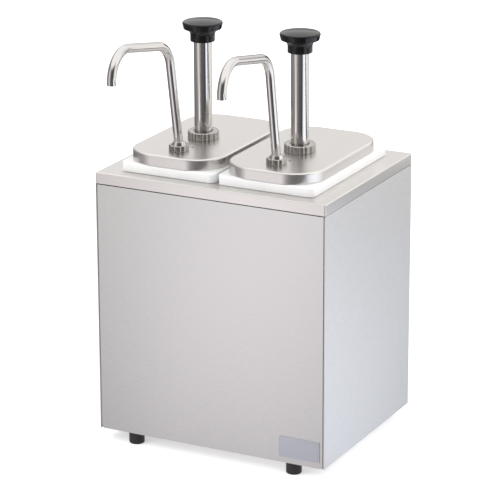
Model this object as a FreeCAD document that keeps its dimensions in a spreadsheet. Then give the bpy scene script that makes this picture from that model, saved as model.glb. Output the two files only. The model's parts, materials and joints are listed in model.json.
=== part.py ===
"""Two-station condiment pump dispenser.

A sheet-steel cabinet on four rubber feet holds two plastic jars side by side. Each jar is closed by a
drawn steel lid, which carries a hand pump: a plunger with a knob, a cylinder with a return spring, two
ball valves, a riser tube and a bent spout that reaches out over the cabinet's front.

Millimetres. Z = 0 is the surface that the feet stand on, X runs to the right as seen from the front,
and Y runs to the back, so the front is -Y. The origin is below the cabinet's centre.
"""
import math
import os

import FreeCAD
import Part
import Sketcher
from FreeCAD import Placement, Rotation, Vector

# ------------------------------------------------------------------ driving dimensions
# Heights named *_top, *_bottom and *_level are measured from the upper face of the deck.
SIZES = {
    # cabinet
    "cabinet_width": 312.0, "cabinet_depth": 250.0, "cabinet_height": 335.0, "sheet": 1.2,
    "band_height": 14.2, "seam": 1.0, "return_width": 14.0, "panel_corner": 3.0, "deck_edge": 1.0,
    "brace_width": 10.0, "brace_height": 12.0, "tab_height": 10.0,
    # feet and their fasteners
    "foot_height": 15.5, "foot_diameter": 19.5, "foot_spacing_x": 220.0, "foot_spacing_y": 228.0,
    "foot_edge": 1.6, "foot_recess_diameter": 10.0, "foot_recess_depth": 5.0,
    "screw_diameter": 4.0, "screw_head_diameter": 8.0, "screw_head_height": 2.4,
    "foot_nut_diameter": 8.0, "foot_nut_height": 3.2, "foot_screw_end": 22.0,
    "washer_diameter": 9.0, "washer_height": 0.8,
    # back panel screws
    "back_screw_inset": 8.0, "back_screw_edge": 30.0, "back_screw_length": 8.0,
    "back_screw_diameter": 3.5, "back_screw_head_diameter": 7.0, "back_screw_head_height": 2.0,
    # badge
    "badge_width": 55.0, "badge_height": 26.7, "badge_left": 95.0, "badge_bottom": 7.6,
    "badge_thickness": 0.8, "badge_corner": 1.5,
    # stations and jars
    "station_offset": 66.5, "opening_width": 121.0, "opening_depth": 202.0, "opening_corner": 38.0,
    "jar_shift": 3.0,
    "rim_width": 129.2, "rim_depth": 214.0, "rim_corner": 9.0, "rim_height": 12.5, "rim_skirt": 2.5,
    "jar_width": 118.0, "jar_depth": 200.0, "jar_corner": 37.0, "jar_wall": 2.5, "jar_lip": 3.5,
    "jar_floor_width": 106.0, "jar_floor_depth": 184.0, "jar_floor_corner": 31.0, "jar_below": 197.0,
    # lid
    "lid_width": 124.8, "lid_depth": 208.0, "lid_corner": 40.0, "lid_shift": 4.0, "lid_sheet": 1.0,
    "lid_height": 14.0, "lid_edge": 2.5, "vent_diameter": 2.6, "vent_x": 9.0, "vent_y": -57.0,
    "lid_hole_gap": 0.2,
    # pump axis and collar
    "pump_y": -11.0, "collar_radius": 19.5, "collar_height": 9.7, "collar_flutes": 16.0,
    "flute_radius": 2.4, "flute_depth": 0.9, "collar_lip": 1.5, "collar_hole": 12.4,
    # cylinder
    "cylinder_bore": 13.5, "cylinder_wall": 1.5, "neck_radius": 15.8, "neck_above_lid": 6.7,
    "shoulder_radius": 20.0, "shoulder_height": 4.0, "barrel_bottom": -144.5,
    # plunger
    "plunger_radius": 11.1, "plunger_wall": 1.0, "plunger_top": 163.0, "running_gap": 0.05,
    "bush_bottom": 9.0, "bush_flange": 1.5, "fit_gap": 0.05, "piston_top": 8.8,
    "piston_radius": 13.42, "piston_height": 17.0, "spigot_height": 14.0, "groove_floor": 11.0,
    "groove_height": 3.6, "groove_offset": 6.7, "seal_height": 3.4, "seal_radius": 13.46,
    "guide_radius": 8.6, "guide_height": 8.0,
    # knob, heights above its lower edge
    "knob_bottom": 149.7, "knob_neck": 15.2, "knob_neck_top": 7.3, "knob_under_cap": 15.6,
    "knob_cap_low": 23.4, "knob_cap_high": 25.2, "knob_band_top": 21.8, "knob_height": 26.0,
    "knob_flare": 8.3, "knob_chamfer": 1.0, "knob_edge": 1.8,
    # spring
    "spring_wire": 0.9, "spring_radius": 11.1, "spring_turns": 14.0, "spring_gap": 0.1,
    # valve body
    "boss_radius": 19.0, "boss_top": -136.0, "boss_bottom": -170.0, "socket_floor": -146.0,
    "chamber_radius": 9.0, "ball_bore": 7.6, "ball_bore_top": -152.0, "skirt_bottom": -191.0,
    "skirt_wall": 2.5, "skirt_slot_width": 14.0, "skirt_slot_top": -176.0,
    "web_width": 18.0, "web_top": -146.0, "web_bottom": -166.0, "passage_radius": 3.0,
    "passage_level": -157.0, "throat_sump": 1.5, "outlet_boss_radius": 10.5, "outlet_boss_top": -128.0,
    "outlet_seat_level": -151.0, "outlet_throat": 3.6, "outlet_bore": 6.0, "riser_seat_level": -142.0,
    "outlet_ball_radius": 5.5, "outlet_ball_level": -146.65,
    # inlet seat, ball and stop pin
    "seat_radius": 10.0, "seat_top": -163.0, "seat_mouth": 6.8, "seat_throat": 4.2,
    "inlet_ball_radius": 6.35, "inlet_ball_level": -160.65, "pin_radius": 1.2, "pin_level": -149.4,
    "pin_length": 34.0,
    # riser and discharge fitting
    "spout_y": -74.5, "riser_radius": 6.35, "riser_wall": 1.0, "riser_top": 14.0,
    "fitting_radius": 9.5, "fitting_bottom": 5.0, "fitting_flange_radius": 13.0,
    "fitting_flange_bottom": 21.0, "fitting_flange_top": 24.0, "stub_radius": 8.0, "stub_top": 28.0,
    "ring_level": 18.9, "ring_section": 0.9, "ring_groove_height": 2.6, "ring_groove_radius": 7.5,
    # spout nut
    "nut_radius": 12.4, "nut_height": 7.3, "nut_lobes": 8.0, "lobe_cut_radius": 4.2,
    "lobe_cut_offset": 15.6, "nut_lip_bottom": 3.1, "nut_lip_top": 4.4, "nut_lip_radius": 6.75,
    "nut_dish_low": 8.2, "nut_dish_high": 9.6,
    # spout
    "tube_radius": 5.555, "tube_wall": 1.0, "tube_end": 14.8, "lean_level": 32.0, "lean_angle": 10.17,
    "leg_top": 161.8, "arm_rise": 10.6, "spout_reach": 160.1, "outlet_level": 144.5,
    "base_bend": 30.0, "elbow_bend": 36.0, "tip_bend": 33.0, "left_spout_turn": 0.0,
    "right_spout_turn": 3.8,
    "bead_bottom": 28.2, "bead_top": 29.3, "bead_radius": 7.6, "hub_radius": 6.4,
    "flare_bottom": 31.2, "flare_rim": 9.0, "flare_rim_level": 33.2, "flare_top": 38.0,
    "flare_top_radius": 7.2,
}

STATIONS = (("left", -1), ("right", 1))
SHEET_NAME = "Sizes"
SLOT_MARGIN = 2.0        # how far a cutting tool runs past the faces that it cuts
LEVEL_TOLERANCE = 1e-6   # two heights closer than this are the same
SIDES_OF_NUT = 6

doc = FreeCAD.newDocument("condiment_pump_dispenser")
sheet = doc.addObject("Spreadsheet::Sheet", SHEET_NAME)
for row, (alias, value) in enumerate(SIZES.items(), start=1):
    sheet.set(f"A{row}", alias)
    sheet.set(f"B{row}", str(value))
    sheet.setAlias(f"B{row}", alias)
doc.recompute()

nodes = []


# ------------------------------------------------------------------ formulas and registering
class Sizes:
    """Spells a cell's name in full: size.lid_width is the text Sizes.lid_width."""

    def __getattr__(self, alias):
        if alias not in SIZES:
            raise AttributeError(alias)
        return f"{SHEET_NAME}.{alias}"


size = Sizes()
DECK = f"({size.foot_height} + {size.cabinet_height})"     # height of the deck's upper face
LID_TOP = f"({size.rim_height} + {size.lid_height})"       # above the deck


def number(formula):
    """The value of a formula as a plain number."""
    return float(sheet.evalExpression(str(formula)))


def half(formula):
    return f"({formula}) / 2"


def station_x(sign):
    return f"({sign}) * {size.station_offset}"


def add(kind, label):
    thing = doc.addObject(kind, label)
    thing.Label = label
    return thing


def place(thing, across="0", back="0", up="0"):
    """Bind a sub-part's own position to formulas."""
    for axis, formula in zip("xyz", (across, back, up)):
        thing.setExpression(f"Placement.Base.{axis}", formula)
    return thing


def keep(thing, label):
    """Register a finished sub-part under the label that names its file."""
    thing.Label = label
    nodes.append((label, thing))
    return thing


# ------------------------------------------------------------------ primitives and booleans
def cylinder(name, radius, bottom, top, across="0", back="0"):
    rod = add("Part::Cylinder", name)
    rod.setExpression("Radius", radius)
    rod.setExpression("Height", f"({top}) - ({bottom})")
    return place(rod, across, back, bottom)


def cone(name, low_radius, high_radius, bottom, top, across="0", back="0"):
    taper = add("Part::Cone", name)
    taper.setExpression("Radius1", low_radius)
    taper.setExpression("Radius2", high_radius)
    taper.setExpression("Height", f"({top}) - ({bottom})")
    return place(taper, across, back, bottom)


def ball(name, radius, across, back, centre):
    sphere = add("Part::Sphere", name)
    sphere.setExpression("Radius", radius)
    return place(sphere, across, back, centre)


def torus(name, ring_radius, section_radius, level):
    ring = add("Part::Torus", name)
    ring.setExpression("Radius1", ring_radius)
    ring.setExpression("Radius2", section_radius)
    return place(ring, up=level)


def block(name, left, right, front, back, bottom, top):
    """A box between two formulas on each axis."""
    box = add("Part::Box", name)
    box.setExpression("Length", f"({right}) - ({left})")
    box.setExpression("Width", f"({back}) - ({front})")
    box.setExpression("Height", f"({top}) - ({bottom})")
    return place(box, left, front, bottom)


def fuse(name, *solids):
    union = add("Part::MultiFuse", name)
    union.Shapes = list(solids)
    union.Refine = True
    return union


def cut(name, base, *tools):
    result = add("Part::Cut", name)
    result.Base = base
    result.Tool = tools[0] if len(tools) == 1 else fuse(f"{name}_tools", *tools)
    result.Refine = True
    return result


def ring(name, outer_radius, inner_radius, bottom, top):
    margin = SLOT_MARGIN
    bore = cylinder(f"{name}_bore", inner_radius, f"({bottom}) - {margin}", f"({top}) + {margin}")
    return cut(name, cylinder(f"{name}_outside", outer_radius, bottom, top), bore)


# ------------------------------------------------------------------ bodies and sketches
def new_body(label):
    return add("PartDesign::Body", label)


def origin_feature(body, role):
    """One of the body's own origin planes or axes."""
    for feature in body.Origin.OriginFeatures:
        if feature.Role == role:
            return feature
    raise ValueError(role)


def new_sketch(body, name, role="XY_Plane", lift="0", across="0", back="0"):
    """A sketch on one of the body's own origin planes, lifted along the plane's normal."""
    sketch = body.newObject("Sketcher::SketchObject", name)
    sketch.AttachmentSupport = [(origin_feature(body, role), "")]
    sketch.MapMode = "FlatFace"
    sketch.setExpression("AttachmentOffset.Base.z", lift)
    sketch.setExpression("AttachmentOffset.Base.x", across)
    sketch.setExpression("AttachmentOffset.Base.y", back)
    return sketch


def dimension(sketch, kind, formula, *where):
    """Add a dimensional constraint and bind it to a formula."""
    index = sketch.addConstraint(Sketcher.Constraint(kind, *where, number(formula)))
    sketch.setExpression(f"Constraints[{index}]", formula)


def draw_rounded_rectangle(sketch, width, depth, corner, shift="0"):
    """A rectangle with round corners, centred on the sketch's V axis."""
    half_width, half_depth, radius = number(half(width)), number(half(depth)), number(corner)
    inner_x, inner_y = half_width - radius, half_depth - radius
    middle = number(shift)
    start = sketch.GeometryCount
    up = Vector(0, 0, 1)
    sides = (((-inner_x, -half_depth), (inner_x, -half_depth)),
             ((half_width, -inner_y), (half_width, inner_y)),
             ((inner_x, half_depth), (-inner_x, half_depth)),
             ((-half_width, inner_y), (-half_width, -inner_y)))
    for (from_x, from_y), (to_x, to_y) in sides:
        sketch.addGeometry(Part.LineSegment(Vector(from_x, from_y + middle), Vector(to_x, to_y + middle)))
    centres = ((inner_x, -inner_y), (inner_x, inner_y), (-inner_x, inner_y), (-inner_x, -inner_y))
    for quarter, (centre_x, centre_y) in enumerate(centres):
        turn = (quarter - 1) * math.pi / 2
        circle = Part.Circle(Vector(centre_x, centre_y + middle), up, radius)
        sketch.addGeometry(Part.ArcOfCircle(circle, turn, turn + math.pi / 2))
    for corner_index in range(4):
        side, arc = start + corner_index, start + 4 + corner_index
        next_side = start + (corner_index + 1) % 4
        sketch.addConstraint(Sketcher.Constraint("Tangent", side, 2, arc, 1))
        sketch.addConstraint(Sketcher.Constraint("Tangent", arc, 2, next_side, 1))
        if corner_index:
            sketch.addConstraint(Sketcher.Constraint("Equal", start + 4, arc))
    for side, direction in enumerate(("Horizontal", "Vertical", "Horizontal", "Vertical")):
        sketch.addConstraint(Sketcher.Constraint(direction, start + side))
    dimension(sketch, "Radius", corner, start + 4)
    dimension(sketch, "DistanceX", half(width), -1, 1, start + 1, 1)
    dimension(sketch, "DistanceX", width, start + 3, 1, start + 1, 1)
    dimension(sketch, "DistanceY", f"{half(depth)} + {shift}", -1, 1, start + 2, 1)
    dimension(sketch, "DistanceY", depth, start, 1, start + 2, 1)


def draw_circle(sketch, radius, across, up):
    centre = Vector(number(across), number(up), 0)
    index = sketch.addGeometry(Part.Circle(centre, Vector(0, 0, 1), number(radius)))
    dimension(sketch, "Radius", radius, index)
    pin_point(sketch, index, 3, across, up)


def pin_point(sketch, geometry, position, across, up):
    """Fix a point at two formulas. A formula of "0" puts it on the axis."""
    if across == "0":
        sketch.addConstraint(Sketcher.Constraint("PointOnObject", geometry, position, -2))
    else:
        dimension(sketch, "DistanceX", across, -1, 1, geometry, position)
    if up == "0":
        sketch.addConstraint(Sketcher.Constraint("PointOnObject", geometry, position, -1))
    else:
        dimension(sketch, "DistanceY", up, -1, 1, geometry, position)


def arc_between(first, last, radius):
    """The short arc from first to last. A positive radius bulges to the right of the way along it."""
    chord = last - first
    middle = (first + last) * 0.5
    right = Vector(chord.y, -chord.x, 0).normalize()
    offset = math.sqrt(radius ** 2 - (chord.Length / 2) ** 2)
    side = 1 if radius > 0 else -1
    centre = middle - right * (side * offset)
    circle = Part.Circle(centre, Vector(0, 0, 1), abs(radius))
    ends = (first, last) if side > 0 else (last, first)
    angles = [math.atan2((end - centre).y, (end - centre).x) for end in ends]
    return Part.ArcOfCircle(circle, *angles)


def draw_outline(sketch, corners):
    """A closed outline through corners given as (across, up) formulas.

    A corner with a third value, a signed radius, starts an arc to the next corner.
    """
    points = [Vector(number(corner[0]), number(corner[1]), 0) for corner in corners]
    start = sketch.GeometryCount
    ends = []
    for index, corner in enumerate(corners):
        first, last = points[index], points[(index + 1) % len(points)]
        if len(corner) == 2:
            sketch.addGeometry(Part.LineSegment(first, last))
            ends.append((1, 2))
        else:
            sign, radius = corner[2]
            sketch.addGeometry(arc_between(first, last, sign * number(radius)))
            ends.append((1, 2) if sign > 0 else (2, 1))
    for index, corner in enumerate(corners):
        geometry, following = start + index, start + (index + 1) % len(corners)
        sketch.addConstraint(Sketcher.Constraint(
            "Coincident", geometry, ends[index][1], following, ends[(index + 1) % len(corners)][0]))
        pin_point(sketch, geometry, ends[index][0], corner[0], corner[1])
        if len(corner) == 3:
            dimension(sketch, "Radius", corner[2][1], geometry)


def pad(body, sketch, length, name):
    feature = body.newObject("PartDesign::Pad", name)
    feature.Profile = sketch
    feature.setExpression("Length", length)
    return feature


def pocket_up(body, sketch, depth, name):
    """Cut upwards from the sketch."""
    feature = body.newObject("PartDesign::Pocket", name)
    feature.Profile = sketch
    feature.setExpression("Length", depth)
    feature.Reversed = True
    return feature


def loft(body, kind, sketches, name):
    feature = body.newObject(kind, name)
    feature.Profile = sketches[0]
    feature.Sections = sketches[1:]
    feature.Ruled = True
    return feature


def revolved_body(label, corners):
    """A body turned about its own Z axis from an outline of (radius, height) corners."""
    body = new_body(label)
    sketch = new_sketch(body, f"{label}_outline", "XZ_Plane")
    draw_outline(sketch, corners)
    turn = body.newObject("PartDesign::Revolution", f"{label}_turn")
    turn.Profile = sketch
    turn.ReferenceAxis = (sketch, ["V_Axis"])
    turn.Angle = 360
    return body


def edges_where(feature, test):
    """Names of the feature's edges whose bounding box passes a test."""
    doc.recompute()
    edges = enumerate(feature.Shape.Edges, start=1)
    return [f"Edge{index}" for index, edge in edges if test(edge.BoundBox)]


def round_edges(body, feature, radius, test, name):
    fillet = body.newObject("PartDesign::Fillet", name)
    fillet.Base = (feature, edges_where(feature, test))
    fillet.setExpression("Radius", radius)
    return fillet


def pattern_round_z(body, feature, count, name):
    polar = body.newObject("PartDesign::PolarPattern", name)
    polar.Originals = [feature]
    polar.Axis = (origin_feature(body, "Z_Axis"), [""])
    polar.Angle = 360
    polar.Occurrences = int(number(count))
    polar.setExpression("Occurrences", count)
    body.Tip = polar
    return polar


# ------------------------------------------------------------------ cabinet
def make_top_deck():
    """Deck with a turned-down band all round and one opening for each jar."""
    body = new_body("top_deck")
    outline = new_sketch(body, "deck_outline")
    draw_rounded_rectangle(outline, size.cabinet_width, size.cabinet_depth, size.sheet)
    pad(body, outline, size.band_height, "deck_block")
    inside = new_sketch(body, "deck_inside")
    inner_width = f"{size.cabinet_width} - 2 * {size.sheet}"
    inner_depth = f"{size.cabinet_depth} - 2 * {size.sheet}"
    draw_rounded_rectangle(inside, inner_width, inner_depth, half(size.sheet))
    hollow = pocket_up(body, inside, f"{size.band_height} - {size.sheet}", "deck_hollow")
    for side, sign in STATIONS:
        opening = new_sketch(body, f"deck_opening_{side}", across=station_x(sign),
                             back=f"-{size.jar_shift}")
        draw_rounded_rectangle(opening, size.opening_width, size.opening_depth, size.opening_corner)
        hollow = pocket_up(body, opening, f"{size.band_height} + {SLOT_MARGIN}", f"deck_hole_{side}")
    top = number(size.band_height)
    reach_x = number(f"{half(size.cabinet_width)} - {size.sheet}") - SLOT_MARGIN / 2
    reach_y = number(f"{half(size.cabinet_depth)} - {size.sheet}") - SLOT_MARGIN / 2

    def on_outer_top(box):
        beside = max(abs(box.XMin), abs(box.XMax)) > reach_x
        beyond = max(abs(box.YMin), abs(box.YMax)) > reach_y
        return (beside or beyond) and abs(box.ZMin - top) < LEVEL_TOLERANCE

    round_edges(body, hollow, size.deck_edge, on_outer_top, "deck_bend")
    place(body, up=f"{DECK} - {size.band_height}")
    keep(body, "top_deck")


def make_side_panel(side, sign):
    """Side sheet with returns turned inwards behind the front and back sheets and over the floor."""
    outer, inner = half(size.cabinet_width), f"{half(size.cabinet_width)} - {size.sheet}"
    fold = f"{inner} - {size.return_width}"
    depth = half(size.cabinet_depth)
    bottom, top = size.foot_height, f"{DECK} - {size.band_height} - {size.seam} / 2"
    folds_bottom = f"{size.foot_height} + 2 * {size.sheet} + {size.seam}"
    folds_top = f"{top} - {size.seam}"

    def mirrored_block(name, near, far, *others):
        ends = (near, far) if sign > 0 else (f"-({far})", f"-({near})")
        return block(name, *ends, *others)

    wall = mirrored_block(f"{side}_wall", inner, outer, f"-({depth})", depth, bottom, top)
    inset_far, inset_near = f"{depth} - {size.sheet}", f"{depth} - 2 * {size.sheet}"
    front_fold = mirrored_block(f"{side}_front_fold", fold, inner, f"-({inset_far})", f"-({inset_near})",
                                folds_bottom, folds_top)
    back_fold = mirrored_block(f"{side}_back_fold", fold, inner, inset_near, inset_far,
                               folds_bottom, folds_top)
    floor_fold = mirrored_block(f"{side}_floor_fold", fold, inner, f"-({inset_near} - {size.seam})",
                                f"{inset_near} - {size.seam}", f"{bottom} + {size.sheet}",
                                f"{bottom} + 2 * {size.sheet}")
    deck_tab = mirrored_block(f"{side}_deck_tab", f"{inner} - {size.sheet}", inner, f"-({inset_near} - {size.seam})",
                              f"{inset_near} - {size.seam}", f"{folds_top} - {size.tab_height}",
                              f"{DECK} - {size.sheet}")
    sheets = fuse(f"{side}_side_sheets", wall, front_fold, back_fold, floor_fold, deck_tab)
    keep(cut(f"{side}_side_panel", sheets, *back_screw_holes(side, sign)), f"{side}_side_panel")


def back_screw_levels():
    low = f"{size.foot_height} + {size.back_screw_edge}"
    high = f"{DECK} - {size.band_height} - {size.back_screw_edge}"
    return low, f"(({low}) + ({high})) / 2", high


def lying_cylinder(name, radius, across, front, back, up):
    """A cylinder whose axis runs from front to back."""
    rod = add("Part::Cylinder", name)
    rod.setExpression("Radius", radius)
    rod.setExpression("Height", f"({back}) - ({front})")
    rod.Placement = Placement(Vector(), Rotation(Vector(1, 0, 0), -90))
    return place(rod, across, front, up)


def back_screw_x(sign):
    return f"({sign}) * ({half(size.cabinet_width)} - {size.sheet} - {size.back_screw_inset})"


def back_screw_holes(prefix, sign):
    outer_face = half(size.cabinet_depth)
    radius = f"{half(size.back_screw_diameter)} + {size.fit_gap}"
    front, back = f"{outer_face} - 2 * {size.sheet} - {SLOT_MARGIN}", f"{outer_face} + {SLOT_MARGIN}"
    return [lying_cylinder(f"{prefix}_back_hole_{index}", radius, back_screw_x(sign), front, back, level)
            for index, level in enumerate(back_screw_levels())]


def make_flat_panel(label, back_face):
    """Front or back sheet, set between the side sheets with a narrow seam and rounded lower corners."""
    width = f"{size.cabinet_width} - 2 * {size.sheet} - 2 * {size.seam}"
    height = f"{size.cabinet_height} - {size.band_height} - {size.seam}"
    body = new_body(f"{label}_sheet")
    outline = new_sketch(body, f"{label}_outline", "XZ_Plane")
    across = half(width)
    corners = ((f"-({across})", "0"), (across, "0"), (across, height), (f"-({across})", height))
    draw_outline(outline, corners)
    slab = pad(body, outline, size.sheet, f"{label}_slab")
    low_limit = number(size.panel_corner) / 2

    def lower_corner(box):
        return box.ZMax < low_limit and box.YLength > box.XLength and box.YLength > box.ZLength

    round_edges(body, slab, size.panel_corner, lower_corner, f"{label}_corners")
    place(body, back=back_face, up=size.foot_height)
    return body


def make_front_panel():
    keep(make_flat_panel("front_panel", f"-{half(size.cabinet_depth)} + {size.sheet}"), "front_panel")


def make_back_panel():
    sheet_body = make_flat_panel("back_panel", half(size.cabinet_depth))
    holes = [hole for side, sign in STATIONS for hole in back_screw_holes(f"back_{side}", sign)]
    keep(cut("back_panel", sheet_body, *holes), "back_panel")


def make_back_panel_screws():
    """Pan-head screws through the back sheet into the side panels' returns."""
    face = half(size.cabinet_depth)
    screws = []
    for side, sign in STATIONS:
        for index, level in enumerate(back_screw_levels()):
            name = f"{side}_back_screw_{index}"
            shank = lying_cylinder(f"{name}_shank", half(size.back_screw_diameter), back_screw_x(sign),
                                   f"{face} - {size.back_screw_length}", face, level)
            head = lying_cylinder(f"{name}_head", half(size.back_screw_head_diameter), back_screw_x(sign),
                                  face, f"{face} + {size.back_screw_head_height}", level)
            screws.append(fuse(name, shank, head))
    keep_group("back_panel_screws", screws)


def keep_group(label, solids):
    group = add("Part::Compound", label)
    group.Links = solids
    keep(group, label)


def foot_places():
    across, back = half(size.foot_spacing_x), half(size.foot_spacing_y)
    for across_sign in (-1, 1):
        for back_sign in (-1, 1):
            yield f"({across_sign}) * {across}", f"({back_sign}) * {back}"


def make_bottom_pan():
    """Floor sheet, drilled for the feet."""
    across = f"{half(size.cabinet_width)} - {size.sheet} - {size.seam} / 2"
    depth = f"{half(size.cabinet_depth)} - {size.sheet} - {size.seam} / 2"
    bottom, top = size.foot_height, f"{size.foot_height} + {size.sheet}"
    floor = block("floor_sheet", f"-({across})", across, f"-({depth})", depth, bottom, top)
    radius = f"{half(size.screw_diameter)} + {size.fit_gap}"
    holes = [cylinder(f"floor_hole_{index}", radius, f"{bottom} - {SLOT_MARGIN}", f"{top} + {SLOT_MARGIN}", *spot)
             for index, spot in enumerate(foot_places())]
    keep(cut("bottom_pan", floor, *holes), "bottom_pan")


def make_centre_brace():
    """Inverted channel under the deck between the two openings."""
    across = half(size.brace_width)
    depth = f"{half(size.cabinet_depth)} - 3 * {size.sheet}"
    top = f"{DECK} - {size.sheet}"
    bottom = f"{top} - {size.brace_height}"
    outside = block("brace_outside", f"-({across})", across, f"-({depth})", depth, bottom, top)
    inside = block("brace_inside", f"-({across} - {size.sheet})", f"{across} - {size.sheet}",
                   f"-({depth}) - {SLOT_MARGIN}", f"{depth} + {SLOT_MARGIN}", f"{bottom} - {SLOT_MARGIN}",
                   f"{top} - {size.sheet}")
    keep(cut("deck_centre_brace", outside, inside), "deck_centre_brace")


def make_feet():
    """Rubber feet, each with its screw, washer and nut."""
    screw_radius = half(size.screw_diameter)
    recess_top = size.foot_recess_depth
    floor_top = f"{size.foot_height} + {size.sheet}"
    feet, screws, washers, nuts = [], [], [], []
    for index, (across, back) in enumerate(foot_places()):
        radius = half(size.foot_diameter)
        foot = revolved_body(f"foot_{index}", (
            (half(size.foot_recess_diameter), "0"), (f"{radius} - {size.foot_edge}", "0"),
            (radius, size.foot_edge), (radius, size.foot_height),
            (f"{screw_radius} + {size.fit_gap}", size.foot_height),
            (f"{screw_radius} + {size.fit_gap}", recess_top), (half(size.foot_recess_diameter), recess_top)))
        feet.append(place(foot, across, back))
        shank = cylinder(f"foot_shank_{index}", screw_radius, f"{recess_top} - {size.screw_head_height}",
                         size.foot_screw_end)
        head = cylinder(f"foot_head_{index}", half(size.screw_head_diameter),
                        f"{recess_top} - {size.washer_height} - {size.screw_head_height}",
                        f"{recess_top} - {size.washer_height}")
        screws.append(place(fuse(f"foot_screw_{index}", shank, head), across, back))
        washer = ring(f"foot_washer_{index}", half(size.washer_diameter), f"{screw_radius} + {size.fit_gap}",
                      f"{recess_top} - {size.washer_height}", recess_top)
        washers.append(place(washer, across, back))
        nut = add("Part::Prism", f"foot_nut_blank_{index}")
        nut.Polygon = SIDES_OF_NUT
        nut.setExpression("Circumradius", half(size.foot_nut_diameter))
        nut.setExpression("Height", size.foot_nut_height)
        place(nut, up=floor_top)
        bore = cylinder(f"foot_nut_bore_{index}", f"{screw_radius} + {size.fit_gap}",
                        f"{floor_top} - {SLOT_MARGIN}", f"{floor_top} + {size.foot_nut_height} + {SLOT_MARGIN}")
        nuts.append(place(cut(f"foot_nut_{index}", nut, bore), across, back))
    for label, solids in (("rubber_feet", feet), ("foot_screws", screws), ("foot_washers", washers),
                          ("foot_nuts", nuts)):
        keep_group(label, solids)


def make_badge():
    """Blank rating plate at the lower right of the front."""
    body = new_body("badge_plate")
    outline = new_sketch(body, "badge_outline", "XZ_Plane")
    draw_rounded_rectangle(outline, size.badge_width, size.badge_height, size.badge_corner)
    pad(body, outline, size.badge_thickness, "badge_slab")
    place(body, f"{size.badge_left} + {half(size.badge_width)}", f"-{half(size.cabinet_depth)}",
          f"{size.foot_height} + {size.badge_bottom} + {half(size.badge_height)}")
    keep(body, "badge_plate")


# ------------------------------------------------------------------ jar and lid
def make_jar(side, sign):
    """Tapered jar that hangs in the deck by a turned-down rim."""
    body = new_body(f"{side}_jar")
    shift = f"-{size.jar_shift}"
    lip_top = f"{size.rim_height} + {size.jar_lip}"
    mouth = new_sketch(body, f"{side}_jar_mouth", lift=lip_top, back=shift)
    draw_rounded_rectangle(mouth, size.jar_width, size.jar_depth, size.jar_corner)
    floor = new_sketch(body, f"{side}_jar_floor", lift=f"-{size.jar_below}", back=shift)
    draw_rounded_rectangle(floor, size.jar_floor_width, size.jar_floor_depth, size.jar_floor_corner)
    loft(body, "PartDesign::AdditiveLoft", [mouth, floor], f"{side}_jar_outside")
    rim = new_sketch(body, f"{side}_jar_rim_outline")
    draw_rounded_rectangle(rim, size.rim_width, size.rim_depth, size.rim_corner)
    pad(body, rim, size.rim_height, f"{side}_jar_rim")
    groove = new_sketch(body, f"{side}_jar_groove_outline")
    trim = f"2 * {size.rim_skirt}"
    draw_rounded_rectangle(groove, f"{size.rim_width} - {trim}", f"{size.rim_depth} - {trim}",
                           f"{size.rim_corner} - {size.rim_skirt}")
    draw_rounded_rectangle(groove, size.jar_width, size.jar_depth, size.jar_corner, shift)
    pocket_up(body, groove, f"{size.rim_height} - {size.rim_skirt}", f"{side}_jar_groove")
    wall = f"2 * {size.jar_wall}"
    hollow_top = new_sketch(body, f"{side}_jar_hollow_top", lift=lip_top, back=shift)
    draw_rounded_rectangle(hollow_top, f"{size.jar_width} - {wall}", f"{size.jar_depth} - {wall}",
                           f"{size.jar_corner} - {size.jar_wall}")
    hollow_floor = new_sketch(body, f"{side}_jar_hollow_floor", lift=f"{size.jar_wall} - {size.jar_below}",
                              back=shift)
    draw_rounded_rectangle(hollow_floor, f"{size.jar_floor_width} - {wall}", f"{size.jar_floor_depth} - {wall}",
                           f"{size.jar_floor_corner} - {size.jar_wall}")
    loft(body, "PartDesign::SubtractiveLoft", [hollow_top, hollow_floor], f"{side}_jar_hollow")
    place(body, station_x(sign), up=DECK)
    keep(body, f"{side}_jar")


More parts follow.
